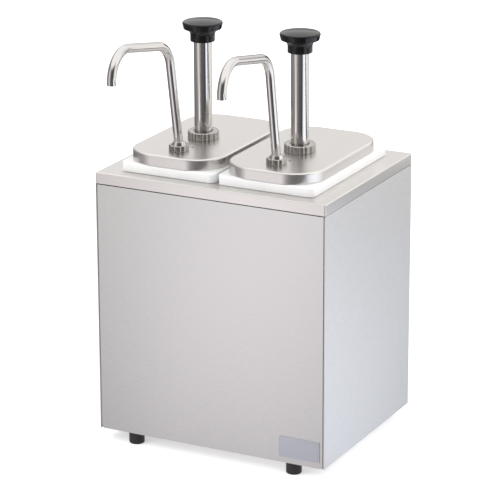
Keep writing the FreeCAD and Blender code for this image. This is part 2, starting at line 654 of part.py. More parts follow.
def make_lid(side, sign):
    """Drawn steel lid with holes for the pump neck, the discharge fitting and a vent."""
    body = new_body(f"{side}_lid")
    outline = new_sketch(body, f"{side}_lid_outline")
    draw_rounded_rectangle(outline, size.lid_width, size.lid_depth, size.lid_corner)
    pad(body, outline, size.lid_height, f"{side}_lid_block")
    inside = new_sketch(body, f"{side}_lid_inside")
    trim = f"2 * {size.lid_sheet}"
    draw_rounded_rectangle(inside, f"{size.lid_width} - {trim}", f"{size.lid_depth} - {trim}",
                           f"{size.lid_corner} - {size.lid_sheet}")
    pocket_up(body, inside, f"{size.lid_height} - {size.lid_sheet}", f"{side}_lid_hollow")
    holes = new_sketch(body, f"{side}_lid_holes")
    neck = (f"{size.neck_radius} + {size.lid_hole_gap}", "0", f"{size.pump_y} + {size.lid_shift}")
    stub = (f"{size.stub_radius} + {size.lid_hole_gap}", "0", f"{size.spout_y} + {size.lid_shift}")
    vent = (half(size.vent_diameter), size.vent_x, f"{size.vent_y} + {size.lid_shift}")
    for radius, across, back in (neck, stub, vent):
        draw_circle(holes, radius, across, back)
    drilled = pocket_up(body, holes, f"{size.lid_height} + {SLOT_MARGIN}", f"{side}_lid_drilled")
    top, inner_top = number(size.lid_height), number(f"{size.lid_height} - {size.lid_sheet}")
    outer_reach = number(half(size.lid_width)) - number(size.lid_corner)

    def outer_corner(box):
        wide = max(abs(box.XMin), abs(box.XMax)) > outer_reach
        return wide and abs(box.ZMin - top) < LEVEL_TOLERANCE and abs(box.ZMax - top) < LEVEL_TOLERANCE

    def inner_corner(box):
        wide = max(abs(box.XMin), abs(box.XMax)) > outer_reach
        return wide and abs(box.ZMin - inner_top) < LEVEL_TOLERANCE and abs(box.ZMax - inner_top) < LEVEL_TOLERANCE

    rolled = round_edges(body, drilled, size.lid_edge, outer_corner, f"{side}_lid_rolled_edge")
    round_edges(body, rolled, f"{size.lid_edge} - {size.lid_sheet}", inner_corner, f"{side}_lid_inner_edge")
    place(body, station_x(sign), f"-{size.lid_shift}", f"{DECK} + {size.rim_height}")
    keep(body, f"{side}_lid")


# ------------------------------------------------------------------ pump, on its own axis
def on_pump_axis(thing, sign, label):
    """Put a piece made about the Z axis, with heights from the deck, on the station's pump axis."""
    place(thing, station_x(sign), size.pump_y, DECK)
    keep(thing, label)


def on_spout_axis(thing, sign, label):
    place(thing, station_x(sign), size.spout_y, DECK)
    keep(thing, label)


def make_collar(side, sign):
    """Fluted hand nut that clamps the pump neck to the lid."""
    label = f"{side}_locking_collar"
    outer, height = size.collar_radius, size.collar_height
    bore = f"{size.neck_radius} + {size.fit_gap}"
    ledge = f"{height} - {size.collar_lip}"
    chamfer = half(size.collar_lip)
    body = revolved_body(label, (
        (bore, "0"), (outer, "0"), (outer, f"{height} - {chamfer}"), (f"{outer} - {chamfer}", height),
        (size.collar_hole, height), (size.collar_hole, ledge), (bore, ledge)))
    flute = new_sketch(body, f"{label}_flute")
    draw_circle(flute, size.flute_radius, f"{outer} + {size.flute_radius} - {size.flute_depth}", "0")
    groove = pocket_up(body, flute, f"{height} + {SLOT_MARGIN}", f"{label}_groove")
    pattern_round_z(body, groove, size.collar_flutes, f"{label}_flutes")
    place(body, station_x(sign), size.pump_y, f"{DECK} + {LID_TOP}")
    keep(body, label)


def make_bushing(side, sign):
    """Plastic bush that guides the plunger, held under the collar's lip."""
    label = f"{side}_guide_bushing"
    flange_bottom = f"{LID_TOP} + {size.neck_above_lid}"
    flange = cylinder(f"{label}_flange", f"{size.neck_radius} - {size.fit_gap}", flange_bottom,
                      f"{flange_bottom} + {size.bush_flange}")
    sleeve = cylinder(f"{label}_sleeve", f"{size.cylinder_bore} - {size.fit_gap}", size.bush_bottom,
                      flange_bottom)
    bore = cylinder(f"{label}_bore", f"{size.plunger_radius} + {size.running_gap}",
                    f"{size.bush_bottom} - {SLOT_MARGIN}", f"{flange_bottom} + {size.bush_flange} + {SLOT_MARGIN}")
    on_pump_axis(cut(label, fuse(f"{label}_solid", flange, sleeve), bore), sign, label)


def make_cylinder(side, sign):
    """Pump cylinder: neck through the lid, shoulder under it, barrel down to the valve body."""
    label = f"{side}_pump_cylinder"
    lid_under = f"{LID_TOP} - {size.lid_sheet}"
    shoulder_bottom = f"{lid_under} - {size.shoulder_height}"
    neck_top = f"{LID_TOP} + {size.neck_above_lid}"
    neck = cylinder(f"{label}_neck", size.neck_radius, shoulder_bottom, neck_top)
    shoulder = cylinder(f"{label}_shoulder", size.shoulder_radius, shoulder_bottom, lid_under)
    barrel = cylinder(f"{label}_barrel", f"{size.cylinder_bore} + {size.cylinder_wall}",
                      size.barrel_bottom, shoulder_bottom)
    bore = cylinder(f"{label}_bore", size.cylinder_bore, f"{size.barrel_bottom} - {SLOT_MARGIN}",
                    f"{neck_top} + {SLOT_MARGIN}")
    on_pump_axis(cut(label, fuse(f"{label}_solid", neck, shoulder, barrel), bore), sign, label)


def make_cylinder_gasket(side, sign):
    label = f"{side}_cylinder_gasket"
    gasket = ring(label, f"{size.cylinder_bore} + {size.cylinder_wall}", size.cylinder_bore,
                  size.socket_floor, size.barrel_bottom)
    on_pump_axis(gasket, sign, label)


def make_plunger_tube(side, sign):
    label = f"{side}_plunger_tube"
    tube = ring(label, size.plunger_radius, f"{size.plunger_radius} - {size.plunger_wall}",
                size.piston_top, size.plunger_top)
    on_pump_axis(tube, sign, label)


def make_piston(side, sign):
    """Piston with a spigot up into the plunger tube, a seal groove and a boss for the spring."""
    label = f"{side}_piston"
    top = size.piston_top
    bottom = f"{top} - {size.piston_height}"
    groove_top = f"{top} - {size.groove_offset}"
    groove_bottom = f"{groove_top} - {size.groove_height}"
    head = cylinder(f"{label}_head", size.piston_radius, bottom, top)
    spigot = cylinder(f"{label}_spigot", f"{size.plunger_radius} - {size.plunger_wall} - {size.fit_gap}",
                      top, f"{top} + {size.spigot_height}")
    guide = cylinder(f"{label}_guide", size.guide_radius, f"{bottom} - {size.guide_height}", bottom)
    groove = ring(f"{label}_groove", f"{size.piston_radius} + {SLOT_MARGIN}", size.groove_floor,
                  groove_bottom, groove_top)
    on_pump_axis(cut(label, fuse(f"{label}_solid", head, spigot, guide), groove), sign, label)


def make_piston_seal(side, sign):
    label = f"{side}_piston_seal"
    middle = f"{size.piston_top} - {size.groove_offset} - {half(size.groove_height)}"
    seal = ring(label, size.seal_radius, f"{size.groove_floor} + {size.fit_gap}",
                f"{middle} - {half(size.seal_height)}", f"{middle} + {half(size.seal_height)}")
    on_pump_axis(seal, sign, label)


def make_knob(side, sign):
    """Mushroom knob: straight neck, hollow flare, tapered band and a low dome."""
    label = f"{side}_knob"
    neck, tube = size.knob_neck, f"{size.plunger_radius} + {size.fit_gap}"
    depth = f"{size.plunger_top} - {size.knob_bottom}"
    dome_edge = f"({size.knob_cap_high} - {size.knob_edge})"
    dome_level = f"({size.knob_band_top} + {size.knob_edge})"
    dome_rise = f"({size.knob_height} - {dome_level})"
    dome_radius = f"({dome_edge} * {dome_edge} + {dome_rise} * {dome_rise}) / (2 * {dome_rise})"
    body = revolved_body(label, (
        (tube, "0"), (f"{neck} - {size.knob_chamfer}", "0"), (neck, size.knob_chamfer),
        (neck, size.knob_neck_top, (-1, size.knob_flare)),
        (size.knob_cap_low, size.knob_under_cap), (size.knob_cap_high, size.knob_band_top),
        (dome_edge, dome_level, (1, dome_radius)), ("0", size.knob_height), ("0", depth), (tube, depth)))
    place(body, station_x(sign), size.pump_y, f"{DECK} + {size.knob_bottom}")
    keep(body, label)


def make_spring(side, sign):
    """Compression spring between the valve body's ledge and the piston."""
    label = f"{side}_return_spring"
    wire = size.spring_wire
    bottom = f"{size.socket_floor} + {wire} + {size.spring_gap}"
    top = f"{size.piston_top} - {size.piston_height} - {wire} - {size.spring_gap}"
    helix = add("Part::Helix", f"{label}_helix")
    helix.setExpression("Height", f"({top}) - ({bottom})")
    helix.setExpression("Pitch", f"(({top}) - ({bottom})) / {size.spring_turns}")
    helix.setExpression("Radius", size.spring_radius)
    section = add("Part::Circle", f"{label}_section")
    section.setExpression("Radius", wire)
    section.Placement = Placement(Vector(), Rotation(Vector(1, 0, 0), 90))
    place(section, across=size.spring_radius)
    coil = add("Part::Sweep", label)
    coil.Sections = [section]
    coil.Spine = helix
    coil.Solid = True
    coil.Frenet = True
    place(coil, station_x(sign), size.pump_y, f"{DECK} + {bottom}")
    keep(coil, label)


# ------------------------------------------------------------------ valves
def make_valve_body(side, sign):
    """Foot of the pump: inlet valve under the cylinder, outlet valve under the riser, passage between."""
    label = f"{side}_valve_body"
    gap = size.fit_gap
    reach = f"({size.spout_y}) - ({size.pump_y})"
    outlet = {"across": "0", "back": reach}
    boss = cylinder(f"{label}_boss", size.boss_radius, size.boss_bottom, size.boss_top)
    skirt = ring(f"{label}_skirt", size.boss_radius, f"{size.boss_radius} - {size.skirt_wall}",
                 size.skirt_bottom, size.boss_bottom)
    outlet_boss = cylinder(f"{label}_outlet_boss", size.outlet_boss_radius, size.web_bottom,
                           size.outlet_boss_top, **outlet)
    web = block(f"{label}_web", f"-{half(size.web_width)}", half(size.web_width), reach, "0",
                size.web_bottom, size.web_top)
    solid = fuse(f"{label}_solid", boss, skirt, outlet_boss, web)
    socket = cylinder(f"{label}_socket", f"{size.cylinder_bore} + {size.cylinder_wall} + {gap}",
                      size.socket_floor, f"{size.boss_top} + {SLOT_MARGIN}")
    chamber = cylinder(f"{label}_chamber", size.chamber_radius, size.ball_bore_top, size.socket_floor)
    ball_bore = cylinder(f"{label}_ball_bore", size.ball_bore, size.seat_top, size.ball_bore_top)
    seat_bore = cylinder(f"{label}_seat_bore", f"{size.seat_radius} + {gap}",
                         f"{size.boss_bottom} - {SLOT_MARGIN}", size.seat_top)
    passage = lying_cylinder(f"{label}_passage", size.passage_radius, "0", reach, "0", size.passage_level)
    sump = f"{size.passage_level} - {size.passage_radius} - {size.throat_sump}"
    throat = cylinder(f"{label}_throat", size.outlet_throat, sump, size.outlet_seat_level, **outlet)
    cone_top = f"{size.outlet_seat_level} + {size.outlet_bore} - {size.outlet_throat}"
    seat_cone = cone(f"{label}_seat_cone", size.outlet_throat, size.outlet_bore, size.outlet_seat_level,
                     cone_top, **outlet)
    outlet_bore = cylinder(f"{label}_outlet_bore", size.outlet_bore, cone_top, size.riser_seat_level, **outlet)
    riser_socket = cylinder(f"{label}_riser_socket", f"{size.riser_radius} + {gap}", size.riser_seat_level,
                            f"{size.outlet_boss_top} + {SLOT_MARGIN}", **outlet)
    pin_hole = pin_along_x(f"{label}_pin_hole", f"{size.pin_radius} + {gap}",
                           f"2 * {size.boss_radius} + {SLOT_MARGIN}")
    slot_reach = f"{size.boss_radius} + {SLOT_MARGIN}"
    slot_half = half(size.skirt_slot_width)
    slot_bottom = f"{size.skirt_bottom} - {SLOT_MARGIN}"
    slot_across = block(f"{label}_slot_across", f"-({slot_reach})", slot_reach, f"-{slot_half}", slot_half,
                        slot_bottom, size.skirt_slot_top)
    slot_along = block(f"{label}_slot_along", f"-{slot_half}", slot_half, f"-({slot_reach})", slot_reach,
                       slot_bottom, size.skirt_slot_top)
    body = cut(label, solid, socket, chamber, ball_bore, seat_bore, passage, throat, seat_cone, outlet_bore,
               riser_socket, pin_hole, slot_across, slot_along)
    on_pump_axis(body, sign, label)


def pin_along_x(name, radius, length):
    """A cylinder along X, centred on the pump axis at the level of the ball stop."""
    pin = add("Part::Cylinder", name)
    pin.setExpression("Radius", radius)
    pin.setExpression("Height", length)
    pin.Placement = Placement(Vector(), Rotation(Vector(0, 1, 0), 90))
    return place(pin, f"-({length}) / 2", "0", size.pin_level)


def make_ball_stop_pin(side, sign):
    label = f"{side}_ball_stop_pin"
    pin = pin_along_x(label, size.pin_radius, size.pin_length)
    place(pin, f"{station_x(sign)} - {half(size.pin_length)}", size.pump_y, f"{DECK} + {size.pin_level}")
    keep(pin, label)


def make_inlet_seat(side, sign):
    """Threaded ring with the conical seat of the inlet ball."""
    label = f"{side}_inlet_seat"
    top, bottom = size.seat_top, size.boss_bottom
    blank = cylinder(f"{label}_blank", size.seat_radius, bottom, top)
    cone_bottom = f"{top} - {size.seat_mouth} + {size.seat_throat}"
    mouth = cone(f"{label}_mouth", size.seat_throat, size.seat_mouth, cone_bottom, top)
    throat = cylinder(f"{label}_throat", size.seat_throat, f"{bottom} - {SLOT_MARGIN}", cone_bottom)
    on_pump_axis(cut(label, blank, mouth, throat), sign, label)


def make_balls(side, sign):
    """Steel check balls, resting just clear of their seats."""
    inlet = ball(f"{side}_inlet_ball", size.inlet_ball_radius, station_x(sign), size.pump_y,
                 f"{DECK} + {size.inlet_ball_level}")
    keep(inlet, f"{side}_inlet_ball")
    outlet = ball(f"{side}_outlet_ball", size.outlet_ball_radius, station_x(sign), size.spout_y,
                  f"{DECK} + {size.outlet_ball_level}")
    keep(outlet, f"{side}_outlet_ball")


# ------------------------------------------------------------------ discharge side
def make_riser(side, sign):
    label = f"{side}_riser_tube"
    tube = ring(label, size.riser_radius, f"{size.riser_radius} - {size.riser_wall}", size.riser_seat_level,
                size.riser_top)
    on_spout_axis(tube, sign, label)


def make_fitting(side, sign):
    """Discharge fitting: socket for the riser, flange under the lid, threaded stub through it."""
    label = f"{side}_discharge_fitting"
    lower = cylinder(f"{label}_lower", size.fitting_radius, size.fitting_bottom, size.fitting_flange_bottom)
    flange = cylinder(f"{label}_flange", size.fitting_flange_radius, size.fitting_flange_bottom,
                      size.fitting_flange_top)
    stub = cylinder(f"{label}_stub", size.stub_radius, size.fitting_flange_top, size.stub_top)
    socket = cylinder(f"{label}_socket", f"{size.riser_radius} + {size.fit_gap}",
                      f"{size.fitting_bottom} - {SLOT_MARGIN}", size.riser_top)
    bore = cylinder(f"{label}_bore", f"{size.tube_radius} + {size.running_gap}", size.riser_top,
                    f"{size.stub_top} + {SLOT_MARGIN}")
    groove = cylinder(f"{label}_groove", size.ring_groove_radius,
                      f"{size.ring_level} - {half(size.ring_groove_height)}",
                      f"{size.ring_level} + {half(size.ring_groove_height)}")
    on_spout_axis(cut(label, fuse(f"{label}_solid", lower, flange, stub), socket, bore, groove), sign, label)


def make_spout_seal(side, sign):
    label = f"{side}_spout_o_ring"
    section = size.ring_section
    seal = torus(label, f"{size.tube_radius} + {size.running_gap} + {section}", section, size.ring_level)
    place(seal, station_x(sign), size.spout_y, f"{DECK} + {size.ring_level}")
    keep(seal, label)


def make_fitting_gasket(side, sign):
    label = f"{side}_fitting_gasket"
    gasket = ring(label, size.fitting_flange_radius, f"{size.stub_radius} + {size.fit_gap}",
                  size.fitting_flange_top, f"{LID_TOP} - {size.lid_sheet}")
    on_spout_axis(gasket, sign, label)


def make_spout_nut(side, sign):
    """Lobed hand nut with a dished top that holds the spout down on the fitting."""
    label = f"{side}_spout_nut"
    bore = f"{size.stub_radius} + {size.fit_gap}"
    body = revolved_body(label, (
        (bore, "0"), (size.nut_radius, "0"), (size.nut_radius, size.nut_height),
        (size.nut_dish_high, size.nut_height), (size.nut_dish_low, size.nut_lip_top),
        (size.nut_lip_radius, size.nut_lip_top), (size.nut_lip_radius, size.nut_lip_bottom),
        (bore, size.nut_lip_bottom)))
    notch = new_sketch(body, f"{label}_notch")
    draw_circle(notch, size.lobe_cut_radius, size.lobe_cut_offset, "0")
    hollow = pocket_up(body, notch, f"{size.nut_height} + {SLOT_MARGIN}", f"{label}_hollow")
    pattern_round_z(body, hollow, size.nut_lobes, f"{label}_lobes")
    place(body, station_x(sign), size.spout_y, f"{DECK} + {LID_TOP}")
    keep(body, label)


def spout_corners():
    """Corner points (Y, Z) of the spout's centre line, from the fitting's axis and the deck."""
    lean, rise = math.radians(number(size.lean_angle)), math.radians(number(size.arm_rise))
    leg_height = number(size.leg_top) - number(size.lean_level)
    elbow_y = -leg_height * math.tan(lean)
    reach = number(size.spout_reach)
    tip_level = number(size.leg_top) + (reach + elbow_y) * math.tan(rise)
    return ((0, number(size.tube_end)), (0, number(size.lean_level)), (elbow_y, number(size.leg_top)),
            (-reach, tip_level), (-reach, number(size.outlet_level)))


def rounded_path(points, radii):
    """A wire of straight runs joined by tangent arcs at the inner points."""
    edges, start = [], points[0]
    for corner, following, radius in zip(points[1:-1], points[2:], radii):
        incoming = (corner - start).normalize()
        outgoing = (following - corner).normalize()
        turn = incoming.getAngle(outgoing)
        setback = radius * math.tan(turn / 2)
        first, last = corner - incoming * setback, corner + outgoing * setback
        towards_centre = (outgoing - incoming).normalize()
        middle = corner + towards_centre * (radius / math.cos(turn / 2) - radius)
        edges += [Part.LineSegment(start, first).toShape(), Part.Arc(first, middle, last).toShape()]
        start = last
    edges.append(Part.LineSegment(start, points[-1]).toShape())
    return Part.Wire(edges)


def spout_turn(side):
    """How far the spout stands swung out of the straight-ahead position."""
    return Rotation(Vector(0, 0, 1), number(f"{SHEET_NAME}.{side}_spout_turn"))


def make_spout_tube(side, sign):
    """Bent outlet tube: short stub, leaning leg, rising arm and a bend down to the outlet."""
    label = f"{side}_spout_tube"
    points = [Vector(0, along, level) for along, level in spout_corners()]
    radii = [number(bend) for bend in (size.base_bend, size.elbow_bend, size.tip_bend)]
    path = rounded_path(points, radii)
    outer, inner = number(size.tube_radius), number(size.tube_radius) - number(size.tube_wall)
    sleeves = [path.makePipeShell([Part.Wire(Part.makeCircle(radius, points[0], Vector(0, 0, 1)))], True)
               for radius in (outer, inner)]
    tube = add("Part::Feature", label)
    tube.Shape = sleeves[0].cut(sleeves[1])
    seat = Vector(sign * number(size.station_offset), number(size.spout_y), number(DECK))
    tube.Placement = Placement(seat, spout_turn(side))
    keep(tube, label)
    return sleeves[0]


def make_ferrule(side, sign, tube_solid):
    """Flared collar brazed to the spout's foot: bead under the nut's lip, flare above it."""
    label = f"{side}_spout_ferrule"
    flare_depth = f"{size.flare_rim_level} - {size.flare_bottom}"
    bead = cylinder(f"{label}_bead", size.bead_radius, size.bead_bottom, size.bead_top)
    hub = cylinder(f"{label}_hub", size.hub_radius, size.bead_top, size.flare_bottom)
    lower = cone(f"{label}_lower", f"{size.flare_rim} - ({flare_depth}) / 2", size.flare_rim,
                 size.flare_bottom, size.flare_rim_level)
    upper = cone(f"{label}_upper", size.flare_rim, size.flare_top_radius, size.flare_rim_level, size.flare_top)
    tool = add("Part::Feature", f"{label}_tube")
    tool.Shape = tube_solid
    ferrule = cut(label, fuse(f"{label}_solid", bead, hub, lower, upper), tool)
    ferrule.Placement = Placement(Vector(), spout_turn(side))
    on_spout_axis(ferrule, sign, label)


# ------------------------------------------------------------------ assembly
def make_cabinet():
    make_top_deck()
    for side, sign in STATIONS:
        make_side_panel(side, sign)
    make_front_panel()
    make_back_panel()
    make_back_panel_screws()
    make_bottom_pan()
    make_centre_brace()
    make_feet()
    make_badge()


def make_station(side, sign):
    for maker in (make_jar, make_lid, make_collar, make_bushing, make_cylinder, make_cylinder_gasket,
                  make_plunger_tube, make_piston, make_piston_seal, make_knob, make_spring, make_valve_body,
                  make_ball_stop_pin, make_inlet_seat, make_balls, make_riser, make_fitting, make_spout_seal,
                  make_fitting_gasket, make_spout_nut):
        maker(side, sign)
    make_ferrule(side, sign, make_spout_tube(side, sign))


def check_document():
    """Stop if any object failed, or if any sub-part is empty or invalid."""
    failed = [thing.Label for thing in doc.Objects if {"Invalid", "Error"} & set(thing.State)]
    if failed:
        raise RuntimeError(f"failed objects: {failed}")
    empty = [label for label, thing in nodes if thing.Shape.isNull() or not thing.Shape.Solids]
    invalid = [label for label, thing in nodes if not thing.Shape.isNull() and not thing.Shape.isValid()]
    if empty or invalid:
        raise RuntimeError(f"empty shapes: {empty}, invalid shapes: {invalid}")


def export():
    os.makedirs("parts", exist_ok=True)
    for label, thing in nodes:
        thing.Shape.exportStep(f"parts/{label}.step")


make_cabinet()
for station_side, station_sign in STATIONS:
    make_station(station_side, station_sign)
doc.recompute()
check_document()
export()
print(len(nodes), "nodes")
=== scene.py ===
"""Looks of the two-station condiment pump dispenser.

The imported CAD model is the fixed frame. Every shown piece is a refined mesh that is built here at the
size and place of its CAD node, stands for that node and rides on the same body. Builders work in
millimetres in the row frame: Z up, the front towards -Y. Profiles are (radius, height) or
(inset, height) corners, and a third value rounds the corner.
"""
import json
import math

import bmesh
import bpy
from mathutils import Matrix, Quaternion, Vector


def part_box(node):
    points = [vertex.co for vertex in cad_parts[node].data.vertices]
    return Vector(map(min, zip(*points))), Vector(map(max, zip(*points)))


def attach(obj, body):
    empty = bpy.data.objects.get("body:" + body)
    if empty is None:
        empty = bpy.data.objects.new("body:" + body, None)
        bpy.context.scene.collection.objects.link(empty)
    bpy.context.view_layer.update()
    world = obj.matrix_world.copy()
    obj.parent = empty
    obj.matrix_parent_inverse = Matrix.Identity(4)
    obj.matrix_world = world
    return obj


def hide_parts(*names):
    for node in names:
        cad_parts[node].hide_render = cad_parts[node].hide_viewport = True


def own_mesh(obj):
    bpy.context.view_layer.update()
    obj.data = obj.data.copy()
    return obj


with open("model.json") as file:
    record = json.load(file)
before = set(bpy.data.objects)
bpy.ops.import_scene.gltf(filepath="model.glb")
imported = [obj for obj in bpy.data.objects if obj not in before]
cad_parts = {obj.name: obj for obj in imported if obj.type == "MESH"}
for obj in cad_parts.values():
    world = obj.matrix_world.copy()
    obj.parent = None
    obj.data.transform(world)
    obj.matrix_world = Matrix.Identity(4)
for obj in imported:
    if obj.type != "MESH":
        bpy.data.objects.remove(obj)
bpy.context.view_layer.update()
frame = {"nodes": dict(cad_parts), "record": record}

MM = 0.001
WELD = 1e-7                 # points closer than this are one, in metres
ROUND = 96                  # points round a turned piece
CORNER_STEPS = 14           # points round a quarter of a rounded rectangle, less one
FILLET_STEPS = 5            # points round a small rounded corner, less one
SOFT_EDGE = 0.2             # how far machined edges are eased
SHARP_ANGLE = 35            # edges that turn by more than this are eased
PAST = 2.0                  # how far a cutting tool runs past a face
FOOT_RADIUS = 9.75
STATIONS = ("left", "right")

record = frame["record"]
BODY_OF = {node: body for body, members in record["behaviour"]["bodies"].items() for node in members}
SLOT_OF = {row["node"]: row["material_slot"] for row in record["subparts"]}


def box_mm(node):
    """Lowest and highest corner of a CAD node, in millimetres."""
    low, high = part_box(node)
    return low / MM, high / MM


def middle(node):
    low, high = box_mm(node)
    return (low + high) / 2


DECK_TOP = box_mm("top_deck")[1].z


# ------------------------------------------------------------------ meshes
def new_piece(name, points, faces):
    """A mesh object from points in millimetres, welded, with its faces turned outwards."""
    work = bmesh.new()
    corners = [work.verts.new(Vector(point) * MM) for point in points]
    for face in faces:
        work.faces.new([corners[index] for index in face])
    bmesh.ops.remove_doubles(work, verts=work.verts, dist=WELD)
    bmesh.ops.recalc_face_normals(work, faces=work.faces)
    return from_bmesh(name, work)


def from_bmesh(name, work):
    mesh = bpy.data.meshes.new(name)
    work.to_mesh(mesh)
    work.free()
    piece = bpy.data.objects.new(name, mesh)
    bpy.context.scene.collection.objects.link(piece)
    return piece


def apply_modifiers(piece):
    graph = bpy.context.evaluated_depsgraph_get()
    piece.data = bpy.data.meshes.new_from_object(piece.evaluated_get(graph))
    piece.data.name = piece.name
    piece.modifiers.clear()


def ease(piece, width=SOFT_EDGE, steps=2):
    """Round the sharp edges, then shade smoothly with the large faces kept flat."""
    if width:
        bevel = piece.modifiers.new("ease", "BEVEL")
        bevel.width = width * MM
        bevel.segments = steps
        bevel.limit_method = "ANGLE"
        bevel.angle_limit = math.radians(SHARP_ANGLE)
    piece.data.shade_smooth()
    piece.modifiers.new("normals", "WEIGHTED_NORMAL").keep_sharp = True
    apply_modifiers(piece)
    return piece


def carve(piece, *tools):
    """Cut the tools out of the piece and throw them away."""
    for tool in tools:
        modifier = piece.modifiers.new("cut", "BOOLEAN")
        modifier.operation = "DIFFERENCE"
        modifier.solver = "EXACT"
        modifier.object = tool
    apply_modifiers(piece)
    for tool in tools:
        bpy.data.objects.remove(tool)
    return piece


def joined(name, pieces):
    """One object from several loose solids."""
    work = bmesh.new()
    for piece in pieces:
        work.from_mesh(piece.data)
        bpy.data.objects.remove(piece)
    return from_bmesh(name, work)


def skin(name, rings, closed):
    """Quads between rings of points. Closed joins the last ring to the first, else the ends are capped."""
    count = len(rings[0])
    points = [point for ring in rings for point in ring]
    faces = []
    for level in range(len(rings) if closed else len(rings) - 1):
        here, there = level * count, (level + 1) % len(rings) * count
        for index in range(count):
            following = (index + 1) % count
            faces.append((here + index, here + following, there + following, there + index))
    if not closed:
        faces += [tuple(range(count)), tuple(range(len(points) - count, len(points)))]
    return new_piece(name, points, faces)


# ------------------------------------------------------------------ outlines
def rounded(corners, closed, steps=FILLET_STEPS):
    """Points of an outline, with each (a, b, radius) corner replaced by an arc."""
    points = []
    for index, corner in enumerate(corners):
        here = Vector(corner[:2])
        if len(corner) == 2 or not closed and index in (0, len(corners) - 1):
            points.append(here)
            continue
        back = Vector(corners[index - 1][:2]) - here
        ahead = Vector(corners[(index + 1) % len(corners)][:2]) - here
        half_angle = back.angle(ahead) / 2
        next_corner = corners[(index + 1) % len(corners)]
        limits = [side.length * (0.499 if len(other) > 2 else 0.999)
                  for side, other in ((back, corners[index - 1]), (ahead, next_corner))]
        setback = min(corner[2] / math.tan(half_angle), *limits)
        back.normalize()
        ahead.normalize()
        centre = here + (back + ahead).normalized() * (setback / math.cos(half_angle))
        first, last = here + back * setback - centre, here + ahead * setback - centre
        swing = first.angle_signed(last)
        points += [centre + Matrix.Rotation(-swing * step / steps, 2) @ first for step in range(steps + 1)]
    return points


def arc(centre, radius, start, end, steps):
    """Points round a circle between two angles in degrees."""
    angles = (math.radians(start + (end - start) * step / steps) for step in range(steps + 1))
    return [Vector((centre[0] + radius * math.cos(angle), centre[1] + radius * math.sin(angle)))
            for angle in angles]


def rectangle(width, depth, corner, centre=(0, 0)):
    """Points round a rectangle with round corners. Any two have the same number of points."""
    corner = max(corner, 0)
    points = []
    for quarter, (side_x, side_y) in enumerate(((1, 1), (-1, 1), (-1, -1), (1, -1))):
        middle_x = centre[0] + side_x * (width / 2 - corner)
        middle_y = centre[1] + side_y * (depth / 2 - corner)
        points += arc((middle_x, middle_y), corner, quarter * 90, quarter * 90 + 90, CORNER_STEPS)
    return points


def level_ring(outline, height):
    return [(point.x, point.y, height) for point in outline]


def turned(name, profile, centre, closed=True, count=ROUND):
    """A piece turned about the vertical line through centre from (radius, height) points."""
    rings = [level_ring(arc(centre, point[0], 0, 360 - 360 / count, count - 1), point[1])
             for point in profile]
    return skin(name, rings, closed)


def shaped(name, profile, centre, reach, count):
    """Like turned, but each point is (inset, height) from an outer radius that changes with the angle.

    A point with a third value, a bore's radius, is round.
    """
    rings = []
    for inset, height, *bore in profile:
        ring = []
        for index in range(count):
            angle = 2 * math.pi * index / count
            radius = bore[0] if bore else reach(angle) - inset
            ring.append((centre[0] + radius * math.cos(angle), centre[1] + radius * math.sin(angle), height))
        rings.append(ring)
    return skin(name, rings, True)


def scalloped(outer, count, cut_radius, cut_offset):
    """The reach of a round knob with hollows cut all round it."""
    def reach(angle):
        pitch = 2 * math.pi / count
        from_hollow = (angle + pitch / 2) % pitch - pitch / 2
        sideways = cut_offset * math.sin(from_hollow)
        if abs(sideways) >= cut_radius:
            return outer
        return min(outer, cut_offset * math.cos(from_hollow) - math.sqrt(cut_radius ** 2 - sideways ** 2))
    return reach


def prism(name, outline, low, high, upright):
    """An outline drawn out between two positions: along Z, or along Y if it stands upright."""
    rings = [[(point.x, position, point.y) if upright else (point.x, point.y, position) for point in outline]
             for position in (low, high)]
    return skin(name, rings, False)


def drill(centre, radius, low, high):
    return turned("drill", [(radius, low), (radius, high)], centre, closed=False)


def cad_copy(node):
    """The CAD node's own shape as a new mesh of clean flat faces."""
    work = bmesh.new()
    source = frame["nodes"][node].data
    corners = [work.verts.new(vertex.co) for vertex in source.vertices]
    for polygon in source.polygons:
        work.faces.new([corners[index] for index in polygon.vertices])
    bmesh.ops.remove_doubles(work, verts=work.verts, dist=WELD * 10)
    bmesh.ops.dissolve_limit(work, angle_limit=math.radians(1), verts=work.verts, edges=work.edges)
    bmesh.ops.recalc_face_normals(work, faces=work.faces)
    return from_bmesh(f"{node}_refined", work)


# ------------------------------------------------------------------ materials
def new_material(name, **sockets):
    """A Principled material. Socket names are written with _ for a space."""
    material = bpy.data.materials.new(name)
    material.use_nodes = True
    surface = surface_of(material)
    for socket, value in sockets.items():
        surface.inputs[socket.replace("_", " ")].default_value = value
    return material


def surface_of(material):
    return material.node_tree.nodes["Principled BSDF"]


def grain(material, size, detail):
    """Noise whose features measure about size, in millimetres, along the row's axes."""
    tree = material.node_tree
    place = tree.nodes.new("ShaderNodeTexCoord")
    stretch = tree.nodes.new("ShaderNodeMapping")
    stretch.inputs["Scale"].default_value = [1 / (length * MM) for length in size]
    noise = tree.nodes.new("ShaderNodeTexNoise")
    noise.inputs["Scale"].default_value = 1.0
    noise.inputs["Detail"].default_value = detail
    tree.links.new(place.outputs["Object"], stretch.inputs["Vector"])
    tree.links.new(stretch.outputs["Vector"], noise.inputs["Vector"])
    return noise.outputs["Fac"]


def spread(material, factor, low, high, into):
    """Map noise, whose middle half is what counts, to a range of values for a socket."""
    tree = material.node_tree
    ranged = tree.nodes.new("ShaderNodeMapRange")
    for socket, value in (("From Min", 0.3), ("From Max", 0.7), ("To Min", low), ("To Max", high)):
        ranged.inputs[socket].default_value = value
    tree.links.new(factor, ranged.inputs["Value"])
    tree.links.new(ranged.outputs["Result"], into)


